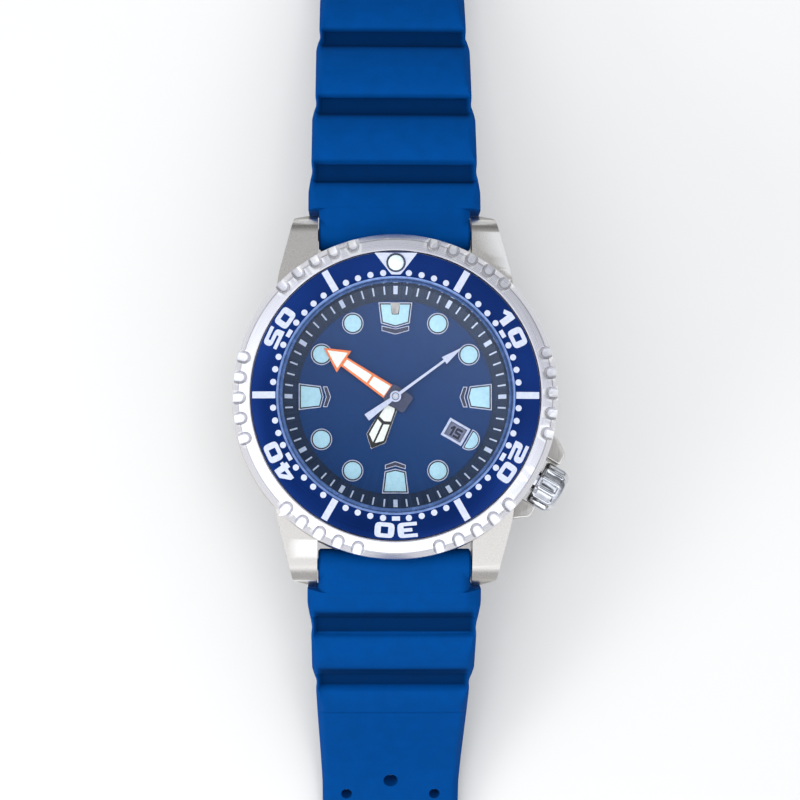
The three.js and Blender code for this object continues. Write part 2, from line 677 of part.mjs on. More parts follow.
function settingLever() {
  const [pivotU, pivotV] = LEVER_PIVOT;
  const arm = 0.45;
  const outline = [
    [GROOVE_AT - arm, LEVER.pinV], [GROOVE_AT, LEVER.pinV - arm], [GROOVE_AT + arm, LEVER.pinV],
    [pivotU + 0.6, pivotV], [pivotU, pivotV + 0.6], [pivotU - 0.6, pivotV],
  ];
  return atCrown(join(
    plate(outline, 2.6, 2.85),
    disc(LEVER.pinRadius, 2.6, 4.1, TINY).translate(GROOVE_AT, LEVER.pinV, 0),
    disc(0.38, 2.6, 4.7, TINY).translate(pivotU, pivotV, 0),
  ));
}

add('crown', crown(), polishedSteel);
add('stem', stem(), polishedSteel);
add('crown_tube', alongCrown(tube(0.62, 1.4, 15.4, 22.9, SMALL)), polishedSteel);
add('clutch_wheel', clutchWheel(), polishedSteel);
add('setting_lever', settingLever(), nickel);

function springBar(end) {
  return turned([
    [0, -BAR.tipEnd], [BAR.tipRadius, -BAR.tipEnd], [BAR.tipRadius, -BAR.halfLength],
    [BAR.radius, -BAR.halfLength], [BAR.radius, BAR.halfLength], [BAR.tipRadius, BAR.halfLength],
    [BAR.tipRadius, BAR.tipEnd], [0, BAR.tipEnd],
  ], SMALL).rotateY(Math.PI / 2).translate(0, end * BAR.y, BAR.z);
}

add('spring_bar_12', springBar(1), polishedSteel);
add('spring_bar_6', springBar(-1), polishedSteel);

// ---------------------------------------------------------------- strap

function between(knots, s) {
  const i = Math.max(1, knots.findIndex(([at]) => at >= s));
  const [[s0, a0], [s1, a1]] = [knots[i - 1], knots[i]];
  return a0 + ((a1 - a0) * (s - s0)) / (s1 - s0);
}

// The centre line of a strap half: its slope goes straight from knot to knot, [arc length,
// degrees down], all scaled alike so that the strap comes down by the drop and then lies flat.
function strapPath(slopes, drop) {
  const [flatFrom] = slopes.at(-1);
  const step = 0.25;
  const fall = (scale) => {
    let sum = 0;
    for (let s = 0; s < flatFrom; s += step) {
      sum += step * Math.sin(rad(scale * between(slopes, s + step / 2)));
    }
    return sum;
  };
  let scale = 1;
  for (let i = 0; i < 12; i += 1) {
    scale *= drop / fall(scale);
  }
  return (s) => {
    const steps = Math.max(1, Math.round(Math.min(s, flatFrom) / step));
    const ds = Math.min(s, flatFrom) / steps;
    let y = BAR.y + Math.max(0, s - flatFrom);
    let z = BAR.z;
    for (let i = 0; i < steps; i += 1) {
      const angle = rad(scale * between(slopes, (i + 0.5) * ds));
      y += ds * Math.cos(angle);
      z -= ds * Math.sin(angle);
    }
    return { y, z, angle: s < flatFrom ? rad(scale * between(slopes, s)) : 0 };
  };
}

const longPath = strapPath(
  [[0, 10], [8, 36], [20, 48], [32, 44], [LONG.flatFrom, 0]], STRAP.drop);
const shortPath = strapPath(
  [[0, 8], [10, 18], [20, 22], [32, 28], [46, 36], [SHORT.flatFrom, 0]], STRAP.drop - SHORT.lift);

// Half-widths and thickness along the strap, [arc length, millimetres].
const longHalf = [
  [0, 11.45], [5, 11.45], [7.2, 11], [15, 10.85], [17, 10.4], [23.4, 10.15], [37, 9.45], [60, 9.3],
  [LONG.length, 8.9],
];
const shortHalf = [
  [0, 11.45], [5.6, 11.45], [8, 11.1], [16.4, 11], [18.4, 10.6], [27.6, 10.5], [29.6, 10.1], [36, 10],
  [60, STRAP.tailHalf], [SHORT.length, STRAP.tailHalf],
];
const thickness = [[0, 4.2], [9, 4.2], [20, 3.9], [30, 3.3], [44, 2.8], [LONG.length, 2.8]];

// A six-sided cross-section, its top edges bevelled and its top sunk inside a groove.
function strapSection(path, s, half, grooves) {
  const { y, z, angle } = path(s);
  const thick = between(thickness, s) / 2;
  const ramp = (GROOVE.top - GROOVE.floor) / 2;
  const sunk = Math.max(0, ...grooves.map((at) =>
    GROOVE.depth * Math.min(1, (GROOVE.top / 2 - Math.abs(s - at)) / ramp)));
  const up = thick - sunk;
  const corner = 0.6;
  const outline = [
    [-half, -thick], [half, -thick], [half, up - corner],
    [half - corner, up], [corner - half, up], [-half, up - corner],
  ];
  return outline.map(([x, n]) => [x, y + n * Math.sin(angle), z + n * Math.cos(angle)]);
}

function strapStations(from, to, grooves, flatFrom) {
  const ends = grooves.flatMap((at) => [-GROOVE.top, -GROOVE.floor, GROOVE.floor, GROOVE.top]
    .map((offset) => at + offset / 2));
  const stations = [from, ...ends, flatFrom];
  for (let s = from + 3; s < flatFrom; s += 3) {
    if (stations.every((other) => Math.abs(other - s) > 1)) {
      stations.push(s);
    }
  }
  stations.push(to);
  return stations.sort((a, b) => a - b);
}

// The part of a strap that fills the gap between the lugs and turns on the spring bar.
function strapEnd(path) {
  const neck = loft([0, 2, 4.2].map((s) => strapSection(path, s, STRAP.insideHalf, [])));
  const roll = crossBar(STRAP.endRadius, -STRAP.insideHalf, STRAP.insideHalf, BAR.y, BAR.z, MIDDLE);
  return join(neck, roll);
}

// Room for the lug tips and for the spring bar.
function strapCuts() {
  const clear = 3.2;
  return [
    crossBar(clear, -12, -STRAP.insideHalf - 0.02, BAR.y, BAR.z, MIDDLE),
    crossBar(clear, STRAP.insideHalf + 0.02, 12, BAR.y, BAR.z, MIDDLE),
    crossBar(1.02, -12, 12, BAR.y, BAR.z, SMALL),
  ];
}

function strapLong() {
  const tip = 9;
  const bodyEnd = LONG.length - tip;
  const sections = strapStations(2.4, bodyEnd, LONG.grooves, LONG.flatFrom)
    .map((s) => strapSection(longPath, s, between(longHalf, s), LONG.grooves));
  for (let i = 1; i <= 5; i += 1) {
    const turn = (i / 5) * 78;
    const half = between(longHalf, bodyEnd) * Math.cos(rad(turn));
    sections.push(strapSection(longPath, bodyEnd + tip * Math.sin(rad(turn)), half, []));
  }
  const holes = Array.from({ length: HOLES.count }, (_, i) => {
    const { y, z, angle } = longPath(HOLES.first + i * HOLES.pitch);
    return disc(HOLES.radius, -4, 4, TINY).rotateX(-angle).translate(0, y, z);
  });
  const body = join(loft(sections), strapEnd(longPath));
  return cut(body, ...strapCuts(), ...holes).scale(1, -1, 1);
}

const pinAt = shortPath(SHORT.length);

function strapShort() {
  const sections = strapStations(2.4, SHORT.length, SHORT.grooves, SHORT.flatFrom)
    .map((s) => strapSection(shortPath, s, between(shortHalf, s), SHORT.grooves));
  const half = STRAP.tailHalf;
  const roll = crossBar(1.9, -half, half, pinAt.y, pinAt.z, MIDDLE);
  const pinBore = crossBar(BUCKLE.pinRadius + 0.1, -12, 12, pinAt.y, pinAt.z, SMALL);
  const tangSlot = block(-1.5, 1.5, pinAt.y - 2.5, pinAt.y + 4, pinAt.z - 4, pinAt.z + 4);
  const body = join(loft(sections), strapEnd(shortPath), roll);
  return cut(body, ...strapCuts(), pinBore, tangSlot);
}

const floor = BAR.z - STRAP.drop - 1.4;

function keeper() {
  const { y } = shortPath(KEEPER.at);
  const { wall, length, halfInside, innerHeight, clearance } = KEEPER;
  const bottom = floor + SHORT.lift - clearance;
  const outer = block(-halfInside - wall, halfInside + wall, y - length / 2, y + length / 2,
    bottom - wall, bottom + innerHeight + wall);
  const hollow = block(-halfInside, halfInside, y - length, y + length, bottom, bottom + innerHeight);
  return cut(outer, hollow);
}

add('strap_long', strapLong(), blueStrap);
add('strap_short', strapShort(), blueStrap);
add('keeper', keeper(), blueStrap);

// ---------------------------------------------------------------- buckle

function buckleFrame() {
  const side = [
    [-1.7, -0.6], [-1.7, 0.7], [-0.7, 1.6], [1.2, 1.6], [6, 0.7], [BUCKLE.barInner, -0.07],
    [14, -0.6], [BUCKLE.reach, -1.5], [14.2, -2.85], [10.4, -2.85], [5, -2], [1, -1.75], [-0.8, -1.5],
  ];
  const body = plate(side, -BUCKLE.half, BUCKLE.half).rotateX(Math.PI / 2).rotateZ(Math.PI / 2);
  const window = block(-BUCKLE.windowHalf, BUCKLE.windowHalf, -4, BUCKLE.barInner, -5, 5);
  const bore = crossBar(BUCKLE.pinRadius + 0.08, -12, 12, 0, 0, SMALL);
  return cut(body, window, bore).translate(0, pinAt.y, pinAt.z);
}

function buckleTang() {
  const half = 1.25;
  const side = [[0, 0.06], [12.9, 0.06], [13.4, 0.5], [12.9, 1.25], [0, 1.35]];
  const arm = plate(side, -half, half).rotateX(Math.PI / 2).rotateZ(Math.PI / 2);
  const eye = crossBar(1.6, -half, half, 0, 0, SMALL);
  const bore = crossBar(BUCKLE.pinRadius + 0.08, -3, 3, 0, 0, SMALL);
  return cut(join(arm, eye), bore).translate(0, pinAt.y, pinAt.z);
}

add('buckle_pin', crossBar(BUCKLE.pinRadius, -11.2, 11.2, pinAt.y, pinAt.z), polishedSteel);
add('buckle_frame', buckleFrame(), satinSteel);
add('buckle_tang', buckleTang(), satinSteel);

export default watch;
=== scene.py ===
"""The looks of a dive watch, made around its CAD frame.

Shapes are drawn in millimetres in the frame's own axes: +Z out of the dial, +Y to 12 o'clock and
+X to 3 o'clock. dress() turns a finished shape into metres, gives it its finish and hangs it on
its body.
"""

import json
import math
from bisect import bisect

import bmesh
import bpy
from mathutils import Matrix, Vector
from mathutils.geometry import delaunay_2d_cdt

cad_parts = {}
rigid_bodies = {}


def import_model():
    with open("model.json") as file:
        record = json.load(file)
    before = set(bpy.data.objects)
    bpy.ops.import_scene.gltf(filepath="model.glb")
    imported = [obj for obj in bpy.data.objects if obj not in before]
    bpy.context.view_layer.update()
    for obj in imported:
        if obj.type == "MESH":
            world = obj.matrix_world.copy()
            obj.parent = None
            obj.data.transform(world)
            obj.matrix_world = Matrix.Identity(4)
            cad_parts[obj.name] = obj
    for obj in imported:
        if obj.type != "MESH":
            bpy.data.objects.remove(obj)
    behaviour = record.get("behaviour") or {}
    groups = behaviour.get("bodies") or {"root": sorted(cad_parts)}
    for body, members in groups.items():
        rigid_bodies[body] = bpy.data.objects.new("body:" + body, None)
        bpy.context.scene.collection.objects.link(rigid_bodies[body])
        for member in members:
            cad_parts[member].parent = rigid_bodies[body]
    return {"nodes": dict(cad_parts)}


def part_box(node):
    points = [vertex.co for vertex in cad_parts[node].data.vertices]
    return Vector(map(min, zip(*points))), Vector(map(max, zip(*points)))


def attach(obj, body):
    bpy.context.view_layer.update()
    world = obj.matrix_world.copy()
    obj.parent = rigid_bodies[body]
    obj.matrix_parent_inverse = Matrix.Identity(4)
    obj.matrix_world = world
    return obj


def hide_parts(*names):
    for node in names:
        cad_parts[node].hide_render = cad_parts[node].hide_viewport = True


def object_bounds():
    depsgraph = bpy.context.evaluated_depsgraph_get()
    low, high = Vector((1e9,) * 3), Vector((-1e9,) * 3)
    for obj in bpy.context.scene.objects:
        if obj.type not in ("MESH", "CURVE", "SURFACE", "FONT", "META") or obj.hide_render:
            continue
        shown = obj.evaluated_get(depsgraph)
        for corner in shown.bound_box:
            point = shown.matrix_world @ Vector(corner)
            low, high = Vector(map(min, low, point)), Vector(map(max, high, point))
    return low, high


for leftover in list(bpy.data.objects):
    bpy.data.objects.remove(leftover)

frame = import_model()
CAD_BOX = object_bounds()
MM = 0.001
X, Y, Z = range(3)


def low(node, axis):
    """A CAD node's lowest coordinate, in millimetres."""
    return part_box(node)[0][axis] / MM


def high(node, axis):
    """A CAD node's highest coordinate, in millimetres."""
    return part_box(node)[1][axis] / MM


# ---------------------------------------------------------------- driving dimensions

FLOOR = CAD_BOX[0].z / MM

WAIST = -low("case_middle", X) - 0.65
CASE_TOP = high("bezel_click_spring", Z) - 0.3
NECK_TOP = high("case_middle", Z)
LUG_TIP = high("case_middle", Y)
LUG_INSIDE = 10.15
LUG_OUTSIDE = 15.5
BAR_Y = (low("spring_bar_12", Y) + high("spring_bar_12", Y)) / 2
BAR_Z = (low("spring_bar_12", Z) + high("spring_bar_12", Z)) / 2

BEZEL_RADIUS = high("bezel", X)
BEZEL_BOTTOM = low("bezel", Z)
BEZEL_TOP = high("bezel", Z)
BEZEL_RECESS = 18.8
SCOOP_GROUPS = 6
SCOOPS_PER_GROUP = 5
SCOOP_PITCH = 7.5
SCOOP_RADIUS = 0.82
SCOOP_INNER = 19.42
SCOOP_TURN = 1.0

INSERT_INSIDE = 15.47
INSERT_OUTSIDE = high("bezel_insert", X)
INSERT_TOP = high("bezel_insert", Z)
INSERT_RIM = 10.6
INSERT_DOT = 0.4
INSERT_DOTS_AT = 15.95
PIP_RADIUS = high("bezel_pip", X)
PIP_AT = high("bezel_pip", Y) - PIP_RADIUS

CRYSTAL_RADIUS = high("crystal", X)
CRYSTAL_TOP = high("crystal", Z)
CRYSTAL_BOTTOM = low("crystal", Z)

DIAL_RADIUS = high("dial", X)
DIAL_TOP = high("dial", Z)
CHAPTER_INSIDE = 12.75
CHAPTER_OUTSIDE = 14.65
CHAPTER_LOW = 6.5
CHAPTER_HIGH = high("chapter_ring", Z)
MARKER_BOTTOM = low("marker_1", Z)
MARKER_TOP = high("marker_1", Z)
DOT_RADIUS = 1.4
DOT_AT = 11.12
DATE_CLOCK = 120.0
DATE_AT = 9.1

# Hand directions, in degrees clockwise from 12 o'clock.
HOUR_CLOCK = 205.0
MINUTE_CLOCK = 304.2
SECOND_CLOCK = 53.6

CROWN_ANGLE = -30.0
CROWN_Z = (low("crown", Z) + high("crown", Z)) / 2
CROWN_RADIUS = (high("crown", Z) - low("crown", Z)) / 2
CROWN_INNER = 21.6
CROWN_OUTER = 25.2

ROUND = 240
SMALL_ROUND = 64

# ---------------------------------------------------------------- outlines


def polar(radius, degrees):
    """A point at an angle counted from +X."""
    return radius * math.cos(math.radians(degrees)), radius * math.sin(math.radians(degrees))


def clock(degrees, out, across=0.0):
    """A point out along a direction clockwise from 12 o'clock and across it, clockwise."""
    sine, cosine = math.sin(math.radians(degrees)), math.cos(math.radians(degrees))
    return out * sine + across * cosine, out * cosine - across * sine


def box(left, right, bottom, top):
    """A rectangle's corners, which is also the profile of a plain bar, hole or ring."""
    return [(left, bottom), (right, bottom), (right, top), (left, top)]


def circle(radius, centre=(0.0, 0.0), count=SMALL_ROUND):
    """A round outline."""
    spots = [polar(radius, i * 360 / count) for i in range(count)]
    return [(centre[0] + x, centre[1] + y) for x, y in spots]


def rounded(outline, radius, steps=4):
    """The outline with each corner turned into a short curve. A third number is a corner's own radius."""
    result = []
    for i, corner in enumerate(outline):
        here = Vector(corner[:2])
        before = Vector(outline[i - 1][:2]) - here
        after = Vector(outline[(i + 1) % len(outline)][:2]) - here
        own = corner[2] if len(corner) > 2 else radius
        reach = min(own, before.length * 0.49, after.length * 0.49)
        if reach < 1e-3:
            result.append(tuple(here))
            continue
        start = here + before.normalized() * reach
        end = here + after.normalized() * reach
        for k in range(steps + 1):
            t = k / steps
            result.append(tuple(start * (1 - t) ** 2 + here * (2 * t * (1 - t)) + end * t**2))
    return result


def inset(outline, distance):
    """The outline moved inwards by a distance, or outwards if it is negative."""
    area = sum(a[0] * b[1] - b[0] * a[1] for a, b in zip(outline, outline[1:] + outline[:1]))
    side = distance if area > 0 else -distance
    result = []
    for i, corner in enumerate(outline):
        here = Vector(corner[:2])
        arriving = (here - Vector(outline[i - 1][:2])).normalized()
        leaving = (Vector(outline[(i + 1) % len(outline)][:2]) - here).normalized()
        first = Vector((-arriving.y, arriving.x))
        second = Vector((-leaving.y, leaving.x))
        middle = (first + second).normalized()
        result.append(tuple(here + middle * side / max(0.3, middle.dot(first))))
    return result


def mirrored(half):
    """A whole outline from the half of it with v at or above 0, in [u, v] points."""
    return half + [(u, -v, *rest) for u, v, *rest in reversed(half) if v != 0]


def pointing(outline, degrees):
    """An outline in [u, v] points turned to point along a clock direction."""
    return [clock(degrees, u, v) for u, v in outline]


def between(knots, s):
    """The value at s on straight lines between knots."""
    for (s0, a0), (s1, a1) in zip(knots, knots[1:]):
        if s <= s1:
            return a0 + (a1 - a0) * (s - s0) / (s1 - s0)
    return knots[-1][1]


def smooth(edge0, edge1, x):
    """Rises smoothly from 0 at edge0 to 1 at edge1."""
    t = min(1.0, max(0.0, (x - edge0) / (edge1 - edge0)))
    return t * t * (3 - 2 * t)


# ---------------------------------------------------------------- shapes


def tidy(mesh):
    """Welds a mesh and turns its faces out."""
    work = bmesh.new()
    work.from_mesh(mesh)
    bmesh.ops.remove_doubles(work, verts=work.verts, dist=1e-4)
    bmesh.ops.dissolve_degenerate(work, edges=work.edges, dist=1e-5)
    bmesh.ops.recalc_face_normals(work, faces=work.faces)
    work.to_mesh(mesh)
    work.free()
    mesh.update()


def shape(name, points, faces):
    """A mesh object in the scene."""
    mesh = bpy.data.meshes.new(name)
    mesh.from_pydata(points, [], faces)
    tidy(mesh)
    piece = bpy.data.objects.new(name, mesh)
    bpy.context.scene.collection.objects.link(piece)
    return piece


def loft(name, sections, closed=False, open_rings=False):
    """A skin over rings of points. Its first and last ring are capped, or joined if it is closed.
    Open rings are left open between their last and first points."""
    size, count = len(sections[0]), len(sections)
    points = [point for section in sections for point in section]
    faces = [] if closed else [tuple(range(size)), tuple(range(len(points) - size, len(points)))]
    for i in range(count if closed else count - 1):
        here, there = i * size, (i + 1) % count * size
        for k in range(size - 1 if open_rings else size):
            after = (k + 1) % size
            faces.append((here + k, here + after, there + after, there + k))
    return shape(name, points, faces)


def turned(name, profile, segments=ROUND):
    """A solid of revolution about Z from [radius, z] points, off the axis or from axis to axis."""
    sections = []
    for i in range(segments):
        cosine, sine = polar(1, i * 360 / segments)
        sections.append([(r * cosine, r * sine, z) for r, z in profile])
    on_axis = profile[0][0] == 0 and profile[-1][0] == 0
    return loft(name, sections, closed=True, open_rings=on_axis)


def moved(piece, matrix):
    """The piece with its mesh moved. A mirrored mesh has its faces turned out again."""
    piece.data.transform(matrix)
    if matrix.determinant() < 0:
        tidy(piece.data)
    piece.data.update()
    return piece


def shifted(piece, x=0.0, y=0.0, z=0.0):
    """The piece with its mesh slid along."""
    return moved(piece, Matrix.Translation((x, y, z)))


def prism(name, outlines, bottom, top, edge=0.0):
    """Straight-sided plates from outlines. An outline inside another is a hole."""
    flat, loops = [], []
    for outline in outlines:
        area = sum(p[0] * q[1] - q[0] * p[1] for p, q in zip(outline, outline[1:] + outline[:1]))
        loop = outline if area > 0 else outline[::-1]
        loops.append(tuple(range(len(flat), len(flat) + len(loop))))
        flat += [Vector(point[:2]) for point in loop]
    inside_faces = 1
    spots, _, caps, _, _, owners = delaunay_2d_cdt(flat, [], loops, inside_faces, 1e-5)
    caps = [cap for cap, owner in zip(caps, owners) if len(owner) % 2]
    count = len(spots)
    rims = {(a, b) for cap in caps for a, b in zip(cap, cap[1:] + cap[:1])}
    rims = [(a, b) for a, b in rims if (b, a) not in rims]
    points = [(x, y, z) for z in (bottom, top) for x, y in spots]
    faces = [tuple(reversed(cap)) for cap in caps]
    faces += [tuple(i + count for i in cap) for cap in caps]
    faces += [(a, b, b + count, a + count) for a, b in rims]
    piece = shape(name, points, faces)
    if edge:
        work = bmesh.new()
        work.from_mesh(piece.data)
        bmesh.ops.dissolve_limit(work, angle_limit=1e-3, verts=work.verts, edges=work.edges)
        work.to_mesh(piece.data)
        work.free()
        soften(piece, edge, 2, 60)
    return piece


ON_SIDE = Matrix(((0, 0, 1, 0), (1, 0, 0, 0), (0, 1, 0, 0), (0, 0, 0, 1)))


def side_prism(name, outlines, left, right, edge=0.0):
    """A plate across X from outlines in [y, z] points."""
    return moved(prism(name, outlines, left, right, edge), ON_SIDE)


def cross_bar(name, profile, y, z, segments=SMALL_ROUND):
    """A turned piece about a line along X, from [radius, x] points."""
    bar = turned(name, profile, segments)
    return shifted(moved(bar, Matrix.Rotation(math.pi / 2, 4, "Y")), y=y, z=z)


def blunt(radius, half, edge):
    """The profile of a bar along X with its ends broken."""
    one = [(0, -half), (radius - edge, -half), (radius, edge - half)]
    return one + [(r, -x) for r, x in reversed(one)]


def along_crown(piece):
    """A piece built along +Z laid down to point out of the case at the crown."""
    lay = Matrix.Rotation(math.pi / 2, 4, "Y")
    turn = Matrix.Rotation(math.radians(CROWN_ANGLE), 4, "Z")
    return moved(piece, Matrix.Translation((0, 0, CROWN_Z)) @ turn @ lay)


def settle(piece):
    """Applies the piece's modifiers."""
    graph = bpy.context.evaluated_depsgraph_get()
    mesh = bpy.data.meshes.new_from_object(piece.evaluated_get(graph))
    piece.modifiers.clear()
    old = piece.data
    piece.data = mesh
    bpy.data.meshes.remove(old)
    tidy(mesh)
    return piece


def combine(piece, operation, others):
    """Joins, cuts or meets a piece with others, which are used up."""
    for other in others:
        step = piece.modifiers.new("combine", "BOOLEAN")
        step.operation = operation
        step.solver = "EXACT"
        step.object = other
    settle(piece)
    for other in others:
        bpy.data.objects.remove(other)
    return piece


def soften(piece, width, segments=3, angle=40):
    """Breaks a piece's sharp edges."""
    step = piece.modifiers.new("soften", "BEVEL")
    step.width = width
    step.segments = segments
    step.limit_method = "ANGLE"
    step.angle_limit = math.radians(angle)
    return settle(piece)


def together(name, pieces):
    """Several pieces' meshes in one object."""
    work = bmesh.new()
    for piece in pieces:
        work.from_mesh(piece.data)
        bpy.data.objects.remove(piece)
    mesh = bpy.data.meshes.new(name)
    work.to_mesh(mesh)
    work.free()
    whole = bpy.data.objects.new(name, mesh)
    bpy.context.scene.collection.objects.link(whole)
    return whole


def draped(piece, height_at):
    """The piece's mesh lifted by a height that depends on the distance from the dial's centre."""
    for vertex in piece.data.vertices:
        vertex.co.z += height_at(math.hypot(vertex.co.x, vertex.co.y))
    piece.data.update()
    return piece


# ---------------------------------------------------------------- finishes

LOOKS = {}


def linear(colour):
    """A hex colour as linear RGBA."""
    channels = [int(colour[i : i + 2], 16) / 255 for i in (1, 3, 5)]
    return tuple(c / 12.92 if c < 0.04045 else ((c + 0.055) / 1.055) ** 2.4 for c in channels) + (1,)


def wired(tree, kind, output, inputs, **settings):
    """A new node's output, with its inputs set to values or linked to other nodes' outputs."""
    step = tree.nodes.new(kind)
    for setting, value in settings.items():
        setattr(step, setting, value)
    for socket, value in inputs.items():
        if isinstance(value, bpy.types.NodeSocket):
            tree.links.new(value, step.inputs[socket])
        else:
            step.inputs[socket].default_value = value
    return step.outputs[output]


def ranged(tree, value, start, end, low_end, high_end, **settings):
    """A value brought from one range to another."""
    inputs = {"Value": value, "From Min": start, "From Max": end, "To Min": low_end, "To Max": high_end}
    return wired(tree, "ShaderNodeMapRange", "Result", inputs, **settings)


class Finish:
    """One Principled shader, with noise in millimetres behind its colour, roughness and bump."""

    def __init__(self, name, colour, roughness, metallic=0.0, **sockets):
        self.material = bpy.data.materials.new(name)
        self.material.use_nodes = True
        self.tree = self.material.node_tree
        self.shader = self.tree.nodes["Principled BSDF"]
        self.shader.inputs["Base Color"].default_value = linear(colour)
        self.shader.inputs["Roughness"].default_value = roughness
        self.shader.inputs["Metallic"].default_value = metallic
        for socket, value in sockets.items():
            self.shader.inputs[socket.replace("_", " ")].default_value = value
        self.place = self.stretched(self.made("TexCoord", "Object"), (1 / MM, 1 / MM, 1 / MM))
        self.colour = None
        self.normal = None
        LOOKS[name] = self

    def made(self, kind, output, inputs=(), **settings):
        return wired(self.tree, f"ShaderNode{kind}", output, dict(inputs), **settings)

    def feeds(self, value, socket):
        self.tree.links.new(value, self.shader.inputs[socket])
        return self

    def stretched(self, vector, scale):
        """A vector times a scale for each axis."""
        return self.made("VectorMath", "Vector", {0: vector, 1: scale}, operation="MULTIPLY")

    def flat_place(self):
        return self.stretched(self.place, (1, 1, 0))

    def rings(self, fine):
        """A vector that changes quickly with the distance from the Z axis and the height."""
        length = self.made("VectorMath", "Value", {0: self.flat_place()}, operation="LENGTH")
        height = self.made("SeparateXYZ", "Z", {"Vector": self.place})
        joined = self.made("CombineXYZ", "Vector", {"X": length, "Y": height})
        quick = self.stretched(joined, (fine, fine, 1))
        slow = self.stretched(self.place, (0.25, 0.25, 0))
        return self.made("VectorMath", "Vector", {0: quick, 1: slow}, operation="ADD")

    def rays(self, fine):
        """A vector that changes only with the direction from the Z axis."""
        unit = self.made("VectorMath", "Vector", {0: self.flat_place()}, operation="NORMALIZE")
        return self.stretched(unit, (fine, fine, fine))

    def noise(self, vector, scale, detail=3.0):
        return self.made("TexNoise", "Fac", {"Vector": vector, "Scale": scale, "Detail": detail})

    def cells(self, vector, scale):
        return self.made("TexVoronoi", "Distance", {"Vector": vector, "Scale": scale})

    def mixed(self, factor, first, second):
        """Colours the surface from a first colour to a second as the factor goes from 0 to 1."""
        colours = {"Factor": factor, "A": first, "B": second}
        self.colour = self.made("Mix", "Result", colours, data_type="RGBA")
        return self.feeds(self.colour, "Base Color")

    def tint(self, value, first, second, start=0.35, end=0.65):
        """Colours the surface from one hex colour to another as the value goes from start to end."""
        return self.mixed(ranged(self.tree, value, start, end, 0, 1), linear(first), linear(second))

    def worn(self, colour, start=0.53, end=0.6):
        """Rubs the raised edges towards a hex colour."""
        edge = self.made("NewGeometry", "Pointiness")
        return self.mixed(ranged(self.tree, edge, start, end, 0, 1), self.colour, linear(colour))

    def sunk(self, attribute, colour):
        """Paints shade: darkens the surface towards a hex colour where a mesh attribute marks a hollow.
        """
        mark = self.made("Attribute", "Fac", attribute_name=attribute)
        return self.mixed(mark, self.colour, linear(colour))

    def rough(self, value, first, second):
        """Varies the roughness with the value."""
        return self.feeds(ranged(self.tree, value, 0.3, 0.7, first, second), "Roughness")

    def bump(self, value, height):
        """Raises the surface with the value by a height in millimetres."""
        inputs = {"Distance": height * MM, "Height": value}
        if self.normal:
            inputs["Normal"] = self.normal
        self.normal = self.made("Bump", "Normal", inputs)
        return self.feeds(self.normal, "Normal")


def satin(look, vector, colour, shade, roughness, worn, rougher, grain):
    """Metal with fine lines that follow a vector, brighter where its edges are worn."""
    lines = look.noise(vector, 1.0, 4)
    look.tint(lines, shade, colour)
    look.worn(worn)
    look.rough(lines, roughness - 0.05, roughness + rougher)
    look.bump(lines, grain)


def brushed(name, colour, shade, roughness, stretch, grain=0.0022):
    """Satin metal with fine lines along the axis that is stretched least."""
    look = Finish(name, colour, roughness, 1.0)
    vector = look.stretched(look.place, stretch)
    satin(look, vector, colour, shade, roughness, "#f4f2ee", 0.08, grain)


def circular_brushed(name, colour, shade, roughness, fine, grain=0.0015):
    """Satin metal with fine rings round the Z axis."""
    look = Finish(name, colour, roughness, 1.0)
    satin(look, look.rings(fine), colour, shade, roughness, "#fbfafa", 0.06, grain)


def polished(name, colour, shade, roughness=0.1):
    """Bright metal with faint hairlines."""
    look = Finish(name, colour, roughness, 1.0)
    haze = look.noise(look.place, 1.5, 3)
    hairs = look.noise(look.stretched(look.place, (30, 3, 30)), 1.0, 2)
    look.tint(haze, shade, colour, 0.3, 0.7)
    look.rough(hairs, roughness * 0.8, roughness * 1.5)
    look.bump(hairs, 0.0002)


def powdery(name, colour, shade, roughness=0.6, grain=0.004):
    """Paint or luminous compound with a fine grain."""
    look = Finish(name, colour, roughness)
    grains = look.cells(look.place, 14)
    cloud = look.noise(look.place, 2.5, 3)
    look.tint(cloud, shade, colour, 0.3, 0.65)
    look.rough(cloud, roughness - 0.06, roughness + 0.08)
    look.bump(grains, grain)


def moulded(name, colour, shade, roughness):
    """Plain moulded or lacquered material with a light texture."""
    look = Finish(name, colour, roughness)
    cloud = look.noise(look.place, 1.2, 4)
    pores = look.noise(look.place, 20, 2)
    look.tint(cloud, shade, colour)
    look.rough(cloud, roughness - 0.08, roughness + 0.08)
    look.bump(pores, 0.003)


def insert_blue():
    """Anodised blue under a thin clear coat."""
    coat = {"Specular_IOR_Level": 0.1, "Coat_Weight": 0.05, "Coat_Roughness": 0.08}
    look = Finish("insert_blue", "#153f8c", 0.3, 0.85, **coat)
    lines = look.noise(look.rings(22), 1.0, 3)
    cloud = look.noise(look.place, 0.12, 1)
    look.tint(cloud, "#0e2a66", "#133274", 0.35, 0.65)
    look.rough(lines, 0.26, 0.36)
    look.bump(lines, 0.0003)


def sunray(name, colour, shades, roughness, metallic, specular, fine, detail, grain):
    """Lacquer with fine lines that run out from the Z axis."""
    look = Finish(name, colour, roughness[0], metallic, Specular_IOR_Level=specular)
    rays = look.noise(look.rays(fine), 1.0, detail)
    look.tint(rays, *shades, 0.3, 0.7)
    look.rough(rays, *roughness)
    look.bump(rays, grain)


def strap_blue():
    """Matte polyurethane: fine moulded grain, paler on worn edges, and painted shade that darkens its
    grooves.
    """
    look = Finish("strap_blue", "#043b77", 0.58, Specular_IOR_Level=0.02)
    cloud = look.noise(look.place, 0.5, 4)
    grain = look.cells(look.place, 9)
    pores = look.noise(look.place, 16, 3)
    look.tint(cloud, "#013c79", "#013f80", 0.3, 0.7)
    look.worn("#0c4787", 0.57, 0.66)
    # painted shade: the grooves are darkened towards #00102a where the hollow attribute marks them
    look.sunk("hollow", "#00102a")
    look.rough(cloud, 0.5, 0.64)
    look.bump(grain, 0.012)
    look.bump(pores, 0.008)


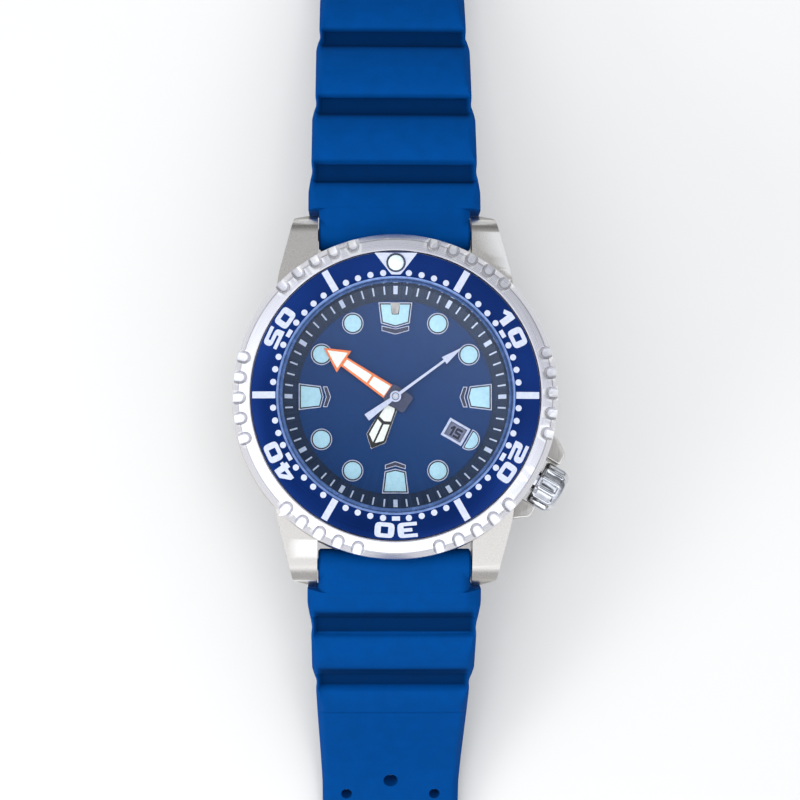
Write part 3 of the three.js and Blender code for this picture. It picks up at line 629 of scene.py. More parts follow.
def solar_cell():
    """Dark cell with thin lines between its fields."""
    look = Finish("solar_dark", "#151a2c", 0.25, 0.2)
    rays = look.noise(look.rays(6), 1.0, 0)
    look.tint(rays, "#10142a", "#1d2340", 0.45, 0.55)
    look.rough(rays, 0.2, 0.32)


def coil_copper():
    """Fine enamelled wire wound round a core that lies across the case."""
    look = Finish("coil_copper", "#b3642e", 0.35, 0.9)
    turns = look.noise(look.stretched(look.place, (9, 4, 2)), 1.0, 2)
    look.tint(turns, "#8a4418", "#c87a3c")
    look.bump(turns, 0.02)


brushed("case_steel", "#c6c2bc", "#b4afa8", 0.3, (18, 0.5, 18), 0.001)
brushed("movement_nickel", "#b5b2a8", "#9b988f", 0.3, (14, 0.6, 14))
circular_brushed("bezel_steel", "#e6e5ea", "#d3d2d9", 0.28, 16)
circular_brushed("movement_brass", "#c09a55", "#a37c38", 0.28, 12)
polished("polished_steel", "#dcdee2", "#c4c7cc")
Finish("crystal", "#ffffff", 0.0, Transmission_Weight=1.0, IOR=1.5, Specular_IOR_Level=0.08)
# crystal_edge: pale blue for the thin ring on the insert's inner edge, a painted highlight
moulded("crystal_edge", "#8aa3d6", "#7490c4", 0.25)
# crystal_rim: opaque mid-blue for the crystal's ground bevel, a painted reflection of the glass edge
moulded("crystal_rim", "#3a5583", "#2c4570", 0.25)
insert_blue()
sunray("dial_blue", "#133c72", ("#123b70", "#16427a"), (0.36, 0.44), 0.6, 0.1, 38, 4, 0.0004)
sunray("chapter_blue", "#1a2d48", ("#0f1f35", "#21395a"), (0.36, 0.5), 0.1, 0.2, 130, 2, 0.004)
moulded("rim_silver", "#c0c8e0", "#b0b9d4", 0.3)
powdery("lume", "#b0d9e7", "#a3cede")
powdery("pip_lume", "#dbe7e6", "#c8d9da")
powdery("tick_white", "#c6d1e6", "#b8c5dc", 0.45, 0.002)
powdery("print_white", "#bdc2d1", "#b0b6c7", 0.45, 0.002)
powdery("hand_silver", "#c4cbe0", "#b5bdd6", 0.4, 0.002)
powdery("hand_white", "#f3f6ee", "#e2e9e2")
powdery("hand_orange", "#f0834a", "#e2733a", 0.42, 0.002)
powdery("hand_blue", "#39405c", "#2d344e", 0.4, 0.002)
# hand_black is the hour hand's black paint, and also the black floors in the markers' gaps, which are
# painted shade
moulded("hand_black", "#15171c", "#0c0d11", 0.35)
moulded("rubber_black", "#16171a", "#0e0f11", 0.7)
strap_blue()
moulded("movement_plastic", "#dcdcd8", "#cfcfca", 0.55)
moulded("date_paper", "#8d94b2", "#8087a6", 0.5)
moulded("date_ink", "#1a2140", "#12182f", 0.45)
moulded("board_green", "#1f5a3a", "#174a2e", 0.45)
coil_copper()
solar_cell()


def dress(piece, body, look, *nodes, sharp=32, even=False):
    """Turns a finished shape into metres, gives it its finish and hangs it on its body. Even shading
    keeps large faces flat beside their rounded edges."""
    piece.data.transform(Matrix.Scale(MM, 4))
    piece.data.materials.clear()
    piece.data.materials.append(LOOKS[look].material)
    piece.data.shade_smooth()
    piece.data.set_sharp_from_angle(angle=math.radians(sharp))
    if even:
        step = piece.modifiers.new("even", "WEIGHTED_NORMAL")
        step.keep_sharp = True
    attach(piece, body)
    if nodes:
        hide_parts(*nodes)
    return piece


# ---------------------------------------------------------------- case


def lug(side_x, side_y):
    """A lug: its side view met with its plan, then mirrored into its corner. Points along its slope
    keep the sloping top's faces short, so that it shades evenly."""
    knee, shoulder, strips = Vector((22.6, 5.2)), Vector((14.2, CASE_TOP)), 6
    slope = [(*knee.lerp(shoulder, step / strips), 0) for step in range(1, strips)]
    side_view = rounded([
        (10, 1.2, 0), (20, 0.6, 2), (23.2, 0.9, 0.6), (LUG_TIP, 1.9, 0.5), (LUG_TIP, 2.6, 0.4),
        (24, 3.9, 0.8), (*knee, 1.0), *slope, (*shoulder, 0.5), (10, CASE_TOP, 0),
    ], 0.5, 6)
    plan = rounded([
        (LUG_INSIDE, 10, 0), (LUG_INSIDE, LUG_TIP, 0.3), (11.2, LUG_TIP, 0.4), (13.35, 23.9, 0.3),
        (LUG_OUTSIDE, 15.4, 1.5), (LUG_OUTSIDE, 10, 0),
    ], 0.3, 4)
    piece = side_prism("lug", [side_view], 9, 16)
    combine(piece, "INTERSECT", [prism("lug_plan", [plan], -1, 9)])
    soften(piece, 0.22, 3, 45)
    return moved(piece, Matrix.Diagonal((side_x, side_y, 1, 1)))


def crown_guard(side):
    """A shoulder beside the crown."""
    plan = [(17, 3.15, 0), (23.1, 3.15, 0.3), (23.1, 4.7, 0.5), (21.1, 6.1, 0.6), (17, 6.1, 0)]
    turn = 90 - CROWN_ANGLE
    outline = pointing(rounded([(u, v * side, *rest) for u, v, *rest in plan], 0.4), turn)
    return prism("crown_guard", [outline], 1.3, 6.5, 0.25)


def case_middle():
    """The case with its lugs, crown guards, strap seats and the seats of what it holds."""
    outside = turned("case_middle", [(0, 0.6)] + rounded([
        (10, 0.6, 0), (19.8, 0.6, 0.5), (21.0, 1.6, 0.5), (WAIST, 2.6, 0.5),
        (WAIST, 5.9, 0.5), (WAIST - 0.15, 7.1, 0.2), (20.9, CASE_TOP, 0.15), (17.3, CASE_TOP, 0.1),
        (17.3, NECK_TOP, 0.1), (10, NECK_TOP, 0),
    ], 0.1) + [(0, NECK_TOP)])
    lugs = [lug(x, y) for x in (1, -1) for y in (1, -1)]
    combine(outside, "UNION", lugs + [crown_guard(1), crown_guard(-1)])
    inside = turned("case_inside", [
        (0, -1), (18, -1), (18, 1.15), (17.9, 1.15), (17.9, 1.85), (17, 1.85), (17, 2.3), (15.3, 2.3),
        (15.3, 7.4), (14.75, 7.4), (14.75, 7.95), (15.55, 7.95), (15.55, 12), (0, 12),
    ])
    cutters = [inside]
    half = LUG_INSIDE
    for end in (1, -1):
        seat = rounded([
            (BAR_Y + 6, -1, 0), (19.4, -1, 0), (19.4, BAR_Z, 0.6), (BAR_Y - 2.4, BAR_Z + 0.6, 0.8),
            (BAR_Y - 1.9, 5.4, 0.5), (BAR_Y - 1.9, 9, 0), (BAR_Y + 6, 9, 0),
        ], 0.3)
        cutters.append(side_prism("seat", [[(y * end, z) for y, z in seat]], -half, half))
        for side in (1, -1):
            tip = cross_bar("tip_hole", box(0, 0.65, -11.9, 0.3 - half), end * BAR_Y, BAR_Z)
            cutters.append(moved(tip, Matrix.Diagonal((side, 1, 1, 1))))
    seat_outline = pointing(box(21.4, 26, -3.15, 3.15), 90 - CROWN_ANGLE)
    cutters.append(prism("crown_seat", [seat_outline], -1, 7.6))
    cutters.append(along_crown(turned("crown_hole", box(0, 1.45, 14, 23), 48)))
    combine(outside, "DIFFERENCE", cutters)
    dress(outside, "case", "case_steel", "case_middle", even=True)


def case_back():
    """The screwed back: turned rings, a brushed field and six notches for its key."""
    profile = rounded([
        (5, 0, 0), (10.5, 0, 0), (10.5, 0.12, 0), (10.9, 0.12, 0), (10.9, 0, 0), (15.2, 0, 0),
        (15.2, 0.18, 0), (15.7, 0.18, 0), (15.7, 0, 0), (17.5, 0, 0.1), (17.9, 0.35, 0.1),
        (17.9, 1.1, 0), (16.9, 1.1, 0), (16.9, 2.2, 0.1), (16, 2.2, 0.1), (16, 1.1, 0), (5, 1.1, 0),
    ], 0.05)
    back = turned("case_back", [(0, 0)] + profile + [(0, 1.1)])
    notch = rounded(box(16.7, 19, -1.5, 1.5), 0.4)
    notches = [prism("notch", [pointing(notch, 90 + i * 60)], -1, 0.7) for i in range(6)]
    combine(back, "DIFFERENCE", notches)
    soften(back, 0.06, 2, 50)
    dress(back, "case", "bezel_steel", "case_back")


def crown():
    """The crown: broad flutes between a collar and a chamfered end."""
    flutes = 12
    stations = [
        (CROWN_INNER, 2.7, 0), (CROWN_INNER + 0.12, 2.86, 0), (21.9, 2.9, 0), (22.05, 2.98, 0.4),
        (22.25, CROWN_RADIUS, 1), (24.1, CROWN_RADIUS, 1), (24.3, 2.98, 0.8), (24.45, 2.92, 0.3),
        (24.6, 2.86, 0), (25.0, 2.66, 0), (25.12, 2.55, 0), (CROWN_OUTER, 2.4, 0),
    ]
    count = flutes * 20
    rings = []
    for u, radius, share in stations:
        ring = []
        for i in range(count):
            wave = 0.5 + 0.5 * math.cos(math.radians(i * 360 * flutes / count))
            depth = 0.36 * share * min(1.0, wave * 1.7) ** 1.5
            ring.append((*polar(radius - depth, i * 360 / count), u))
        rings.append(ring)
    body = loft("crown", rings)
    recess = turned("crown_recess", box(0, 1.6, 20, 23.5), 48)
    combine(body, "DIFFERENCE", [recess])
    dress(along_crown(body), "crown", "polished_steel", "crown", sharp=24)
    disc_profile = [(0, 25.0), (2.1, 25.0), (2.1, 25.16), (2.0, CROWN_OUTER), (0, CROWN_OUTER)]
    cap = turned("crown_cap", disc_profile, 96)
    dress(along_crown(cap), "crown", "case_steel")


def spring_bars():
    """Spring bars with shouldered tips."""
    half = [
        (0, -11.6), (0.45, -11.6), (0.55, -11.45), (0.55, -10.5), (0.75, -10.5), (0.75, -10.3),
        (0.55, -10.3), (0.55, -10.15), (0.8, -10.1), (0.9, -9.9),
    ]
    whole = half + [(r, -x) for r, x in reversed(half)]
    for hour, end in ((12, 1), (6, -1)):
        bar = cross_bar(f"spring_bar_{hour}_fine", whole, end * BAR_Y, BAR_Z, 48)
        dress(bar, "case", "polished_steel", f"spring_bar_{hour}")


# ---------------------------------------------------------------- bezel and crystal


def scoop(degrees):
    """The tool for one thumb scoop: a round-nosed hollow that falls away through the bezel's edge."""
    outline = [(23, -SCOOP_RADIUS), (23, SCOOP_RADIUS)]
    for i in range(13):
        u, v = polar(SCOOP_RADIUS, 90 + i * 15)
        outline.append((SCOOP_INNER + SCOOP_RADIUS + u, v))
    floor_z = 9.75
    hollow = 0.5
    fall = 0.26
    sections = []
    for i in range(7):
        sine, cosine = math.sin(math.radians(i * 15)), math.cos(math.radians(i * 15))
        line = inset(outline, hollow * (1 - sine))
        sections.append([(u, v, floor_z + hollow * (1 - cosine)) for u, v in line])
    sections.append([(u, v, 12.5) for u, v in inset(outline, -0.2)])
    tool = loft("scoop", sections)
    lean = Matrix(((1, 0, 0, 0), (0, 1, 0, 0), (-fall, 0, 1, fall * SCOOP_INNER), (0, 0, 0, 1)))
    return moved(tool, Matrix.Rotation(math.radians(degrees), 4, "Z") @ lean)


def bezel():
    """The turning bezel with its groups of scoops."""
    ring = turned("bezel", rounded([
        (15.5, 9.65, 0), (17.6, 9.65, 0), (17.6, BEZEL_BOTTOM, 0), (BEZEL_RADIUS, BEZEL_BOTTOM, 0.25),
        (BEZEL_RADIUS, 9.2, 0.2), (20.4, BEZEL_TOP - 0.45, 0.15), (19.0, BEZEL_TOP, 0.1),
        (BEZEL_RECESS + 0.05, BEZEL_TOP, 0.06), (BEZEL_RECESS, 10.05, 0), (15.5, 10.05, 0),
    ], 0.1, 5), 360)
    middle = (SCOOPS_PER_GROUP - 1) / 2
    tools = []
    for group in range(SCOOP_GROUPS):
        for i in range(SCOOPS_PER_GROUP):
            turn = group * 360 / SCOOP_GROUPS + (i - middle) * SCOOP_PITCH + SCOOP_TURN
            tools.append(scoop(turn))
    combine(ring, "DIFFERENCE", [together("scoops", tools)])
    soften(ring, 0.06, 2, 30)
    dress(ring, "bezel", "bezel_steel", "bezel")


def insert_height(radius):
    """The insert's sloping face above its flat underside's plane."""
    share = (radius - INSERT_INSIDE) / (INSERT_OUTSIDE - INSERT_INSIDE)
    return INSERT_TOP + (INSERT_RIM - INSERT_TOP) * share


def bezel_insert():
    """The blue ring in the bezel, with a seat for the pip."""
    ring = turned("bezel_insert", rounded([
        (INSERT_INSIDE, 10.1, 0), (INSERT_OUTSIDE, 10.1, 0), (INSERT_OUTSIDE, INSERT_RIM, 0.08),
        (INSERT_INSIDE, INSERT_TOP, 0.1),
    ], 0.1, 3), 360)
    seat = turned("pip_seat", box(0, PIP_RADIUS + 0.12, 9, 12), 64)
    combine(ring, "DIFFERENCE", [shifted(seat, y=PIP_AT)])
    dress(ring, "bezel", "insert_blue", "bezel_insert")
    # A thin pale ring on the insert's inner chamfer, coloured as a painted highlight.
    edge = turned("bezel_insert_painted_highlight", rounded([
        (15.16, 10.1, 0), (INSERT_INSIDE - 0.01, 10.1, 0), (INSERT_INSIDE - 0.01, INSERT_TOP, 0.03),
        (15.16, INSERT_TOP - 0.3, 0.03),
    ], 0.03, 3), 360)
    dress(edge, "bezel", "crystal_edge")


def digit(character, width, height, stroke):
    """A squared digit as outlines from its lower left corner. The 1 is narrower than the rest."""
    w, h, t = width, height, stroke
    bar = h * 0.235
    r = t * 0.75
    upper, lower = (h + bar) / 2, (h - bar) / 2
    two = [
        (0, h), (w, h, r), (w, lower, r), (t, lower), (t, bar), (w, bar), (w, 0), (0, 0),
        (0, upper, r), (w - t, upper), (w - t, h - bar), (0, h - bar),
    ]
    six = [(0, h, r), (w, h), (w, h - bar), (t, h - bar), (t, upper), (w, upper, r), (w, 0, r), (0, 0, r)]
    six_hole = box(t, w - t, bar, lower)
    whole = [(x, y, r) for x, y in box(0, w, 0, h)]
    wide = bar * 1.15
    stem = w * 0.88
    foot = h * 0.2
    shapes = {
        "0": [whole, box(t, w - t, wide, h - wide)],
        "1": [[
            (w * 0.34, 0), (w * 0.34 + t * 1.15, 0), (w * 0.34 + t * 1.15, h), (w * 0.34, h),
            (0, h * 0.74), (t * 0.45, h * 0.52), (w * 0.34, h * 0.66),
        ]],
        "2": [two],
        "3": [[
            (0, h), (w, h, r), (w, 0, r), (0, 0), (0, bar), (w - t, bar), (w - t, lower),
            (t * 0.8, lower), (t * 0.8, upper), (w - t, upper), (w - t, h - bar), (0, h - bar),
        ]],
        "4": [
            [
                (w * 0.42, h), (stem, h), (stem, foot + bar), (w, foot + bar), (w, foot), (stem, foot),
                (stem, 0), (stem - t, 0), (stem - t, foot), (0, foot), (0, foot + bar * 1.1),
            ],
            [(stem - t, foot + bar), (stem - t, h - bar * 0.9), (w * 0.3, foot + bar)],
        ],
        "5": [[(w - x, y, *rest) for x, y, *rest in two]],
        "6": [six, six_hole],
        "7": [[
            (0, h), (w, h), (w, h - bar * 1.2), (w * 0.6, 0), (w * 0.6 - t * 1.15, 0),
            (w - t * 1.3, h - bar), (0, h - bar),
        ]],
        "8": [whole, six_hole, box(t, w - t, upper, h - bar)],
        "9": [[(w - x, h - y, *rest) for x, y, *rest in outline] for outline in (six, six_hole)],
    }
    return [rounded(outline, t * 0.08, 3) for outline in shapes[character]]


def digit_width(character, width, stroke):
    """A digit's own width, which is less for a 1."""
    return width * 0.34 + stroke * 1.15 if character == "1" else width


def row(text, width, height, stroke, gap):
    """Each outline in a centred row of digits, with where its digit starts and half its width."""
    start = -(sum(digit_width(c, width, stroke) for c in text) + gap * (len(text) - 1)) / 2
    outlines = []
    for character in text:
        wide = digit_width(character, width, stroke)
        for outline in digit(character, width, height, stroke):
            outlines.append((outline, start, wide / 2))
        start += wide + gap
    return outlines


def number(text, degrees, baseline, width, height, stroke, gap):
    """A number's outlines with the top of each digit away from the dial's centre."""
    outlines = []
    for outline, start, half in row(text, width, height, stroke, gap):
        turn = degrees + math.degrees((start + half) / (baseline + height / 2))
        outlines.append([clock(turn, baseline + y, x - half) for x, y in outline])
    return outlines


def insert_print():
    """The insert's white scale: bars, dots, dashes, numbers and the triangle at 12."""
    outlines = []
    for minute in range(60):
        degrees = minute * 6
        if minute % 10 == 5:
            outlines.append(pointing(rounded(box(15.58, 18.56, -0.44, 0.44), 0.04, 2), degrees))
        elif minute % 10 == 0 and minute > 0:
            outlines.append(pointing(rounded(box(15.66, 16.22, -0.52, 0.52), 0.05, 2), degrees))
            gap = 0.95 if minute == 10 else 0.42
            outlines += number(str(minute), degrees, baseline=16.5, width=2.55, height=1.95,
                               stroke=0.8, gap=gap)
        elif minute % 5:
            outlines.append(circle(INSERT_DOT, clock(degrees, INSERT_DOTS_AT), 32))
    triangle = mirrored([(18.55, 2.8), (15.68, 0.6)])
    outlines.append(pointing(rounded(triangle, 0.12, 3), 0))
    outlines.append(circle(PIP_RADIUS + 0.14, (0, PIP_AT), 64))
    ink = draped(prism("insert_print", outlines, -0.03, 0.015), insert_height)
    dress(ink, "bezel", "print_white")


def bezel_pip():
    """The luminous pip: a domed bead in a thin dark cup."""
    r = PIP_RADIUS
    bead = turned("bezel_pip", [(0, 10.16)] + rounded([
        (0.3, 10.16, 0), (r - 0.1, 10.16, 0), (r - 0.1, 10.75, 0.15), (0.6, 10.97, 0.3), (0.1, 11.0, 0),
    ], 0.05, 4) + [(0, 11.0)], 64)
    dress(shifted(bead, y=PIP_AT), "bezel", "pip_lume", "bezel_pip")
    cup = turned("bezel_pip_cup", rounded([
        (r - 0.02, 10.14, 0), (r + 0.1, 10.14, 0), (r + 0.1, 10.82, 0.04), (r - 0.02, 10.82, 0.04),
    ], 0.03, 2), 64)
    dress(shifted(cup, y=PIP_AT), "bezel", "hand_blue")


def crystal_disc():
    """The crystal, which lets the lamps through to the dial, and the ground bevel round it."""
    r = CRYSTAL_RADIUS
    clear = r - 0.46
    disc = turned("crystal", box(0, clear, CRYSTAL_BOTTOM, CRYSTAL_TOP), 360)
    dress(disc, "case", "crystal", "crystal")
    disc.visible_shadow = False
    # The ground bevel is opaque mid-blue: a painted reflection of the glass edge.
    rim = turned("crystal_bevel", rounded([
        (clear + 0.01, CRYSTAL_BOTTOM, 0), (r, CRYSTAL_BOTTOM, 0.05), (r, CRYSTAL_TOP - 0.25, 0.06),
        (r - 0.25, CRYSTAL_TOP, 0.05), (clear + 0.01, CRYSTAL_TOP, 0),
    ], 0.03, 3), 360)
    dress(rim, "case", "crystal_rim")


# ---------------------------------------------------------------- dial


def chapter_height(radius):
    """The chapter ring's slope."""
    share = (radius - CHAPTER_INSIDE) / (CHAPTER_OUTSIDE - CHAPTER_INSIDE)
    return CHAPTER_LOW + (CHAPTER_HIGH - CHAPTER_LOW) * share


def chapter_ring():
    """The sloping ring round the dial and its minute ticks."""
    ring = turned("chapter_ring", rounded([
        (CHAPTER_INSIDE, 6.27, 0), (15.2, 6.27, 0), (15.2, 7.35, 0), (CHAPTER_OUTSIDE, 7.35, 0),
        (CHAPTER_OUTSIDE, CHAPTER_HIGH, 0.04), (CHAPTER_INSIDE, CHAPTER_LOW, 0.05),
    ], 0.03, 3), 360)
    dress(ring, "case", "chapter_blue", "chapter_ring")
    thin, thick = [], []
    for minute in range(60):
        hour_tick = minute % 5 == 0
        half = 0.275 if hour_tick else 0.1
        (thick if hour_tick else thin).append(pointing(box(13.42, 14.42, -half, half), minute * 6))
    for name, outlines in (("minute_ticks", thin), ("hour_ticks", thick)):
        dress(draped(prism(name, outlines, -0.02, 0.02), chapter_height), "case", "tick_white")


def date_rectangle(length, height, radius=0.0):
    """A rectangle at the date window, its long side along the radius."""
    outline = box(DATE_AT - length / 2, DATE_AT + length / 2, -height / 2, height / 2)
    return pointing(rounded(outline, radius, 3), DATE_CLOCK)


def dial():
    """The dial plate with its centre hole and date window."""
    outlines = [circle(DIAL_RADIUS, count=ROUND), circle(1.0), date_rectangle(2.4, 1.9, 0.08)]
    dress(prism("dial", outlines, low("dial", Z), DIAL_TOP), "case", "dial_blue", "dial")


def lume_block(name, outline, *nodes):
    """A luminous filling with a soft edge."""
    block = prism(name, [outline], MARKER_BOTTOM + 0.04, MARKER_TOP - 0.03, 0.05)
    return dress(block, "case", "lume", *nodes)


def rimmed(name, outline, rim, gap, corner=0.0):
    """A polished rim round an outline, with a black floor in the gap inside it as painted shade. Returns
    what is left.
    """
    inner = inset(outline, rim)
    rims = [rounded(line, corner, 2) for line in (outline, inner)]
    dress(prism(f"{name}_rim", rims, MARKER_BOTTOM, MARKER_TOP, 0.03), "case", "rim_silver")
    painted_shade_outline = inset(outline, rim / 2)
    dress(prism(f"{name}_floor", [painted_shade_outline], MARKER_BOTTOM, MARKER_BOTTOM + 0.05),
          "case", "hand_black")
    return rounded(inset(outline, rim + gap), corner, 2)


def dot_marker(hour):
    """A round marker."""
    centre = clock(hour * 30, DOT_AT)
    name = f"marker_{hour}"
    filling = rimmed(name, circle(DOT_RADIUS, centre), 0.11, 0.17)
    lume_block(f"{name}_lume", filling, name)


def bar_marker(hour, body, chevron, notch=None):
    """A trapezoid marker with its chevron towards the centre. The notch is let into the outer edge."""
    name = f"marker_{hour}"
    degrees = hour * 30
    filling = rimmed(name, pointing(mirrored(body), degrees), 0.12, 0.16, 0.06)
    if notch:
        (far, far_half), (near, near_half) = notch
        outline = pointing(rounded(mirrored(notch), 0.1, 3), degrees)
        wedge = prism(f"{name}_wedge", [outline], MARKER_BOTTOM + 0.05, MARKER_TOP, 0.05)
        dress(wedge, "case", "case_steel")
        block = prism(f"{name}_lume", [filling], MARKER_BOTTOM + 0.04, MARKER_TOP - 0.03, 0.05)
        gap = 0.1
        slot = mirrored([(far + 1, far_half + gap), (near - gap, near_half + gap)])
        combine(block, "DIFFERENCE", [prism("slot", [pointing(slot, degrees)], 5, 8)])
        dress(block, "case", "lume", name)
    else:
        lume_block(f"{name}_lume", filling, name)
    v_outline = pointing([*mirrored(chevron[:3]), chevron[3]], degrees)
    inner = rimmed(f"{name}_chevron", v_outline, 0.1, 0.1, 0.04)
    facet = prism(f"{name}_facet", [inner], MARKER_BOTTOM + 0.04, MARKER_TOP - 0.12, 0.03)
    dress(facet, "case", "hand_blue")


def markers():
    """All hour markers."""
    for hour in (1, 2, 5, 7, 8, 10, 11):
        dot_marker(hour)
    quarter = [(12.6, 1.74), (9.72, 1.4), (9.36, 0)]
    quarter_chevron = [(9.45, 1.35), (8.87, 1.35), (8.4, 0), (9.05, 0)]
    for hour in (3, 6, 9):
        bar_marker(hour, quarter, quarter_chevron)
    bar_marker(12, [(12.4, 2.22), (9.65, 1.88), (9.1, 0)],
               [(9.35, 1.8), (8.67, 1.8), (8.19, 0), (8.95, 0)], [(12.4, 0.64), (10.9, 0.35)])


def half_dot(shrink):
    """The outline, moved inwards, of the dot that is cut short by the date window."""
    radius = DOT_RADIUS - shrink
    flat = DATE_AT + 1.75 + shrink
    start = math.degrees(math.acos((flat - DOT_AT) / radius))
    arc = [polar(radius, -start + 2 * start * i / 28) for i in range(29)]
    return pointing([(DOT_AT + u, v) for u, v in arc], DATE_CLOCK)


def date_window():
    """The window's frame and the shortened dot beside it."""
    frame_outlines = [date_rectangle(3.07, 2.55, 0.08), date_rectangle(2.42, 1.92, 0.05)]
    piece = prism("date_frame", frame_outlines, MARKER_BOTTOM, 6.5, 0.06)
    dress(piece, "case", "rim_silver", "date_frame")
    rims = [half_dot(0), half_dot(0.12)]
    dress(prism("date_dot_rim", rims, MARKER_BOTTOM, MARKER_TOP, 0.03), "case", "rim_silver")
    # A black floor in the dot's gap: painted shade.
    under = prism("date_dot_floor", [half_dot(0.06)], MARKER_BOTTOM, MARKER_BOTTOM + 0.05)
    dress(under, "case", "hand_black")
    lume_block("date_dot_lume", half_dot(0.24))


def date_ring():
    """The date ring with its 31 numbers."""
    days = 31
    teeth = []
    for i in range(days):
        teeth += [polar(7.65, i * 360 / days), polar(8.0, (i + 0.5) * 360 / days)]
    outlines = [circle(high("date_ring", X), count=ROUND), teeth]
    ring = prism("date_ring", outlines, low("date_ring", Z), high("date_ring", Z), 0.02)
    dress(ring, "date_ring", "date_paper", "date_ring")
    shown = 15
    half_height = 0.68
    ink = []
    for day in range(1, days + 1):
        degrees = DATE_CLOCK + (shown - day) * 360 / days
        digits = row(str(day), width=0.92, height=2 * half_height, stroke=0.26, gap=0.14)
        for outline, start, _ in digits:
            ink.append([clock(degrees, DATE_AT + start + x, half_height - y) for x, y in outline])
    top = high("date_ring", Z)
    dress(prism("date_numbers", ink, top - 0.02, top + 0.01), "date_ring", "date_ink")


# ---------------------------------------------------------------- hands


def hour_hand():
    """A broad pointed hand: black with a silver edge, filled white either side of its centre bar."""
    bottom = low("hour_hand", Z)
    outline = mirrored([(7.5, 0), (6, 1.37), (3.4, 1.12), (1.8, 0.97), (0, 0.9)])
    outline = pointing(outline, HOUR_CLOCK)
    base = prism("hour_hand", [outline], bottom, bottom + 0.1, 0.02)
    combine(base, "UNION", [turned("hub", box(0.78, 1.3, bottom, bottom + 0.14), 64)])
    combine(base, "DIFFERENCE", [turned("hole", box(0, 0.78, 5, 8), 64)])
    dress(base, "hours", "polished_steel", "hour_hand")
    black = prism("hour_hand_black", [inset(outline, 0.04)], bottom + 0.09, bottom + 0.13)
    combine(black, "DIFFERENCE", [turned("hole", box(0, 1.32, 5, 8), 64)])
    dress(black, "hours", "hand_black")
    near = mirrored([(3.5, 0), (3.2, 0.82), (1.75, 0.68), (1.4, 0.55)])
    side = [(3.62, 0.85), (5.86, 1.03), (6.6, 0.13), (3.92, 0.13)]
    fillings = [pointing(part, HOUR_CLOCK) for part in (near, side, [(u, -v) for u, v in side])]
    lume = prism("hour_hand_lume", fillings, bottom + 0.12, bottom + 0.16, 0.015)
    dress(lume, "hours", "hand_white")


def minute_hand():
    """An orange arrow with white fillings and a dark tail."""
    bottom = low("minute_hand", Z)
    arrow = mirrored([(11.3, 0), (8.1, 1.7), (8.1, 0.68), (1.2, 1.03)])
    orange = prism("minute_hand", [pointing(arrow, MINUTE_CLOCK)], bottom, bottom + 0.1, 0.02)
    dress(orange, "minutes", "hand_orange", "minute_hand")
    tail = rounded(mirrored([(1.2, 1.03, 0), (0.9, 1.3, 0.2), (-2.05, 1.3, 0.5)]), 0.3, 5)
    tail_piece = prism("minute_hand_tail", [pointing(tail, MINUTE_CLOCK), circle(0.46)],
                       bottom, bottom + 0.13, 0.02)
    dress(tail_piece, "minutes", "hand_blue")
    halves = ([(1.3, 0.78), (3.82, 0.6)], [(4.12, 0.59), (7.95, 0.44)], [(10.75, 0), (8.36, 1.22)])
    fillings = [pointing(mirrored(half), MINUTE_CLOCK) for half in halves]
    lume = prism("minute_hand_lume", fillings, bottom + 0.09, bottom + 0.14, 0.015)
    dress(lume, "minutes", "hand_white")


def second_hand():
    """A thin needle with a small arrow, its counterweight and its ringed hub."""
    bottom = low("second_hand", Z)
    needle = mirrored([(10.8, 0), (7.9, 0.55), (7.9, 0.15), (-0.5, 0.2), (-1.0, 0.28), (-4.65, 0.5)])
    body = prism("second_hand", [pointing(needle, SECOND_CLOCK)], bottom, bottom + 0.1, 0.025)
    hub = turned("hub", rounded([
        (0.22, bottom, 0), (0.73, bottom, 0), (0.73, bottom + 0.12, 0.05), (0.22, bottom + 0.12, 0.03),
    ], 0.03, 3), 64)
    combine(body, "UNION", [hub])
    combine(body, "DIFFERENCE", [turned("hole", box(0, 0.22, 7, 8), 48)])
    dress(body, "seconds", "hand_silver", "second_hand")
    rings = [("hub_ring", 0.24, 0.5, 0.13, "hand_blue"), ("hub_collar", 0.22, 0.4, 0.15, "hand_silver")]
    for name, inner, outer, rise, look in rings:
        ring = turned(name, box(inner, outer, bottom + 0.08, bottom + rise), 48)
        dress(ring, "seconds", look)


# ---------------------------------------------------------------- strap

LONG_LENGTH = 123.8
SHORT_LENGTH = 82.0
LONG_GROOVES = (8.3, 17.7)
LONG_STEP = 23.1
SHORT_GROOVES = (8.65, 18.8, 29.9)
LONG_HALF_WIDTHS = [(0, 11.45), (5, 11.45), (7.2, 11), (15, 10.85), (17, 10.4), (23.4, 10.15),
                    (37, 9.45), (60, 9.3), (124, 8.9)]
SHORT_HALF_WIDTHS = [(0, 11.45), (5.6, 11.45), (8, 11.1), (16.4, 11), (18.4, 10.6), (27.6, 10.5),
                     (29.6, 10.1), (36, 10), (60, 9.05), (82, 9.05)]
THICKNESS = [(0, 4.2), (9, 4.2), (20, 3.9), (30, 3.3), (44, 2.8), (124, 2.8)]
GROOVE_WIDTH = 3.4
GROOVE_DEPTH = 1.5
EDGE_BEVEL = 1.0
END_HALF = 10.03
SHOULDER = 3.15
HOLE_FIRST, HOLE_PITCH, HOLE_COUNT, HOLE_RADIUS = 36.4, 6.5, 11, 1.0
VENT_ACROSS, VENT_AFTER = 6.1, 2.3


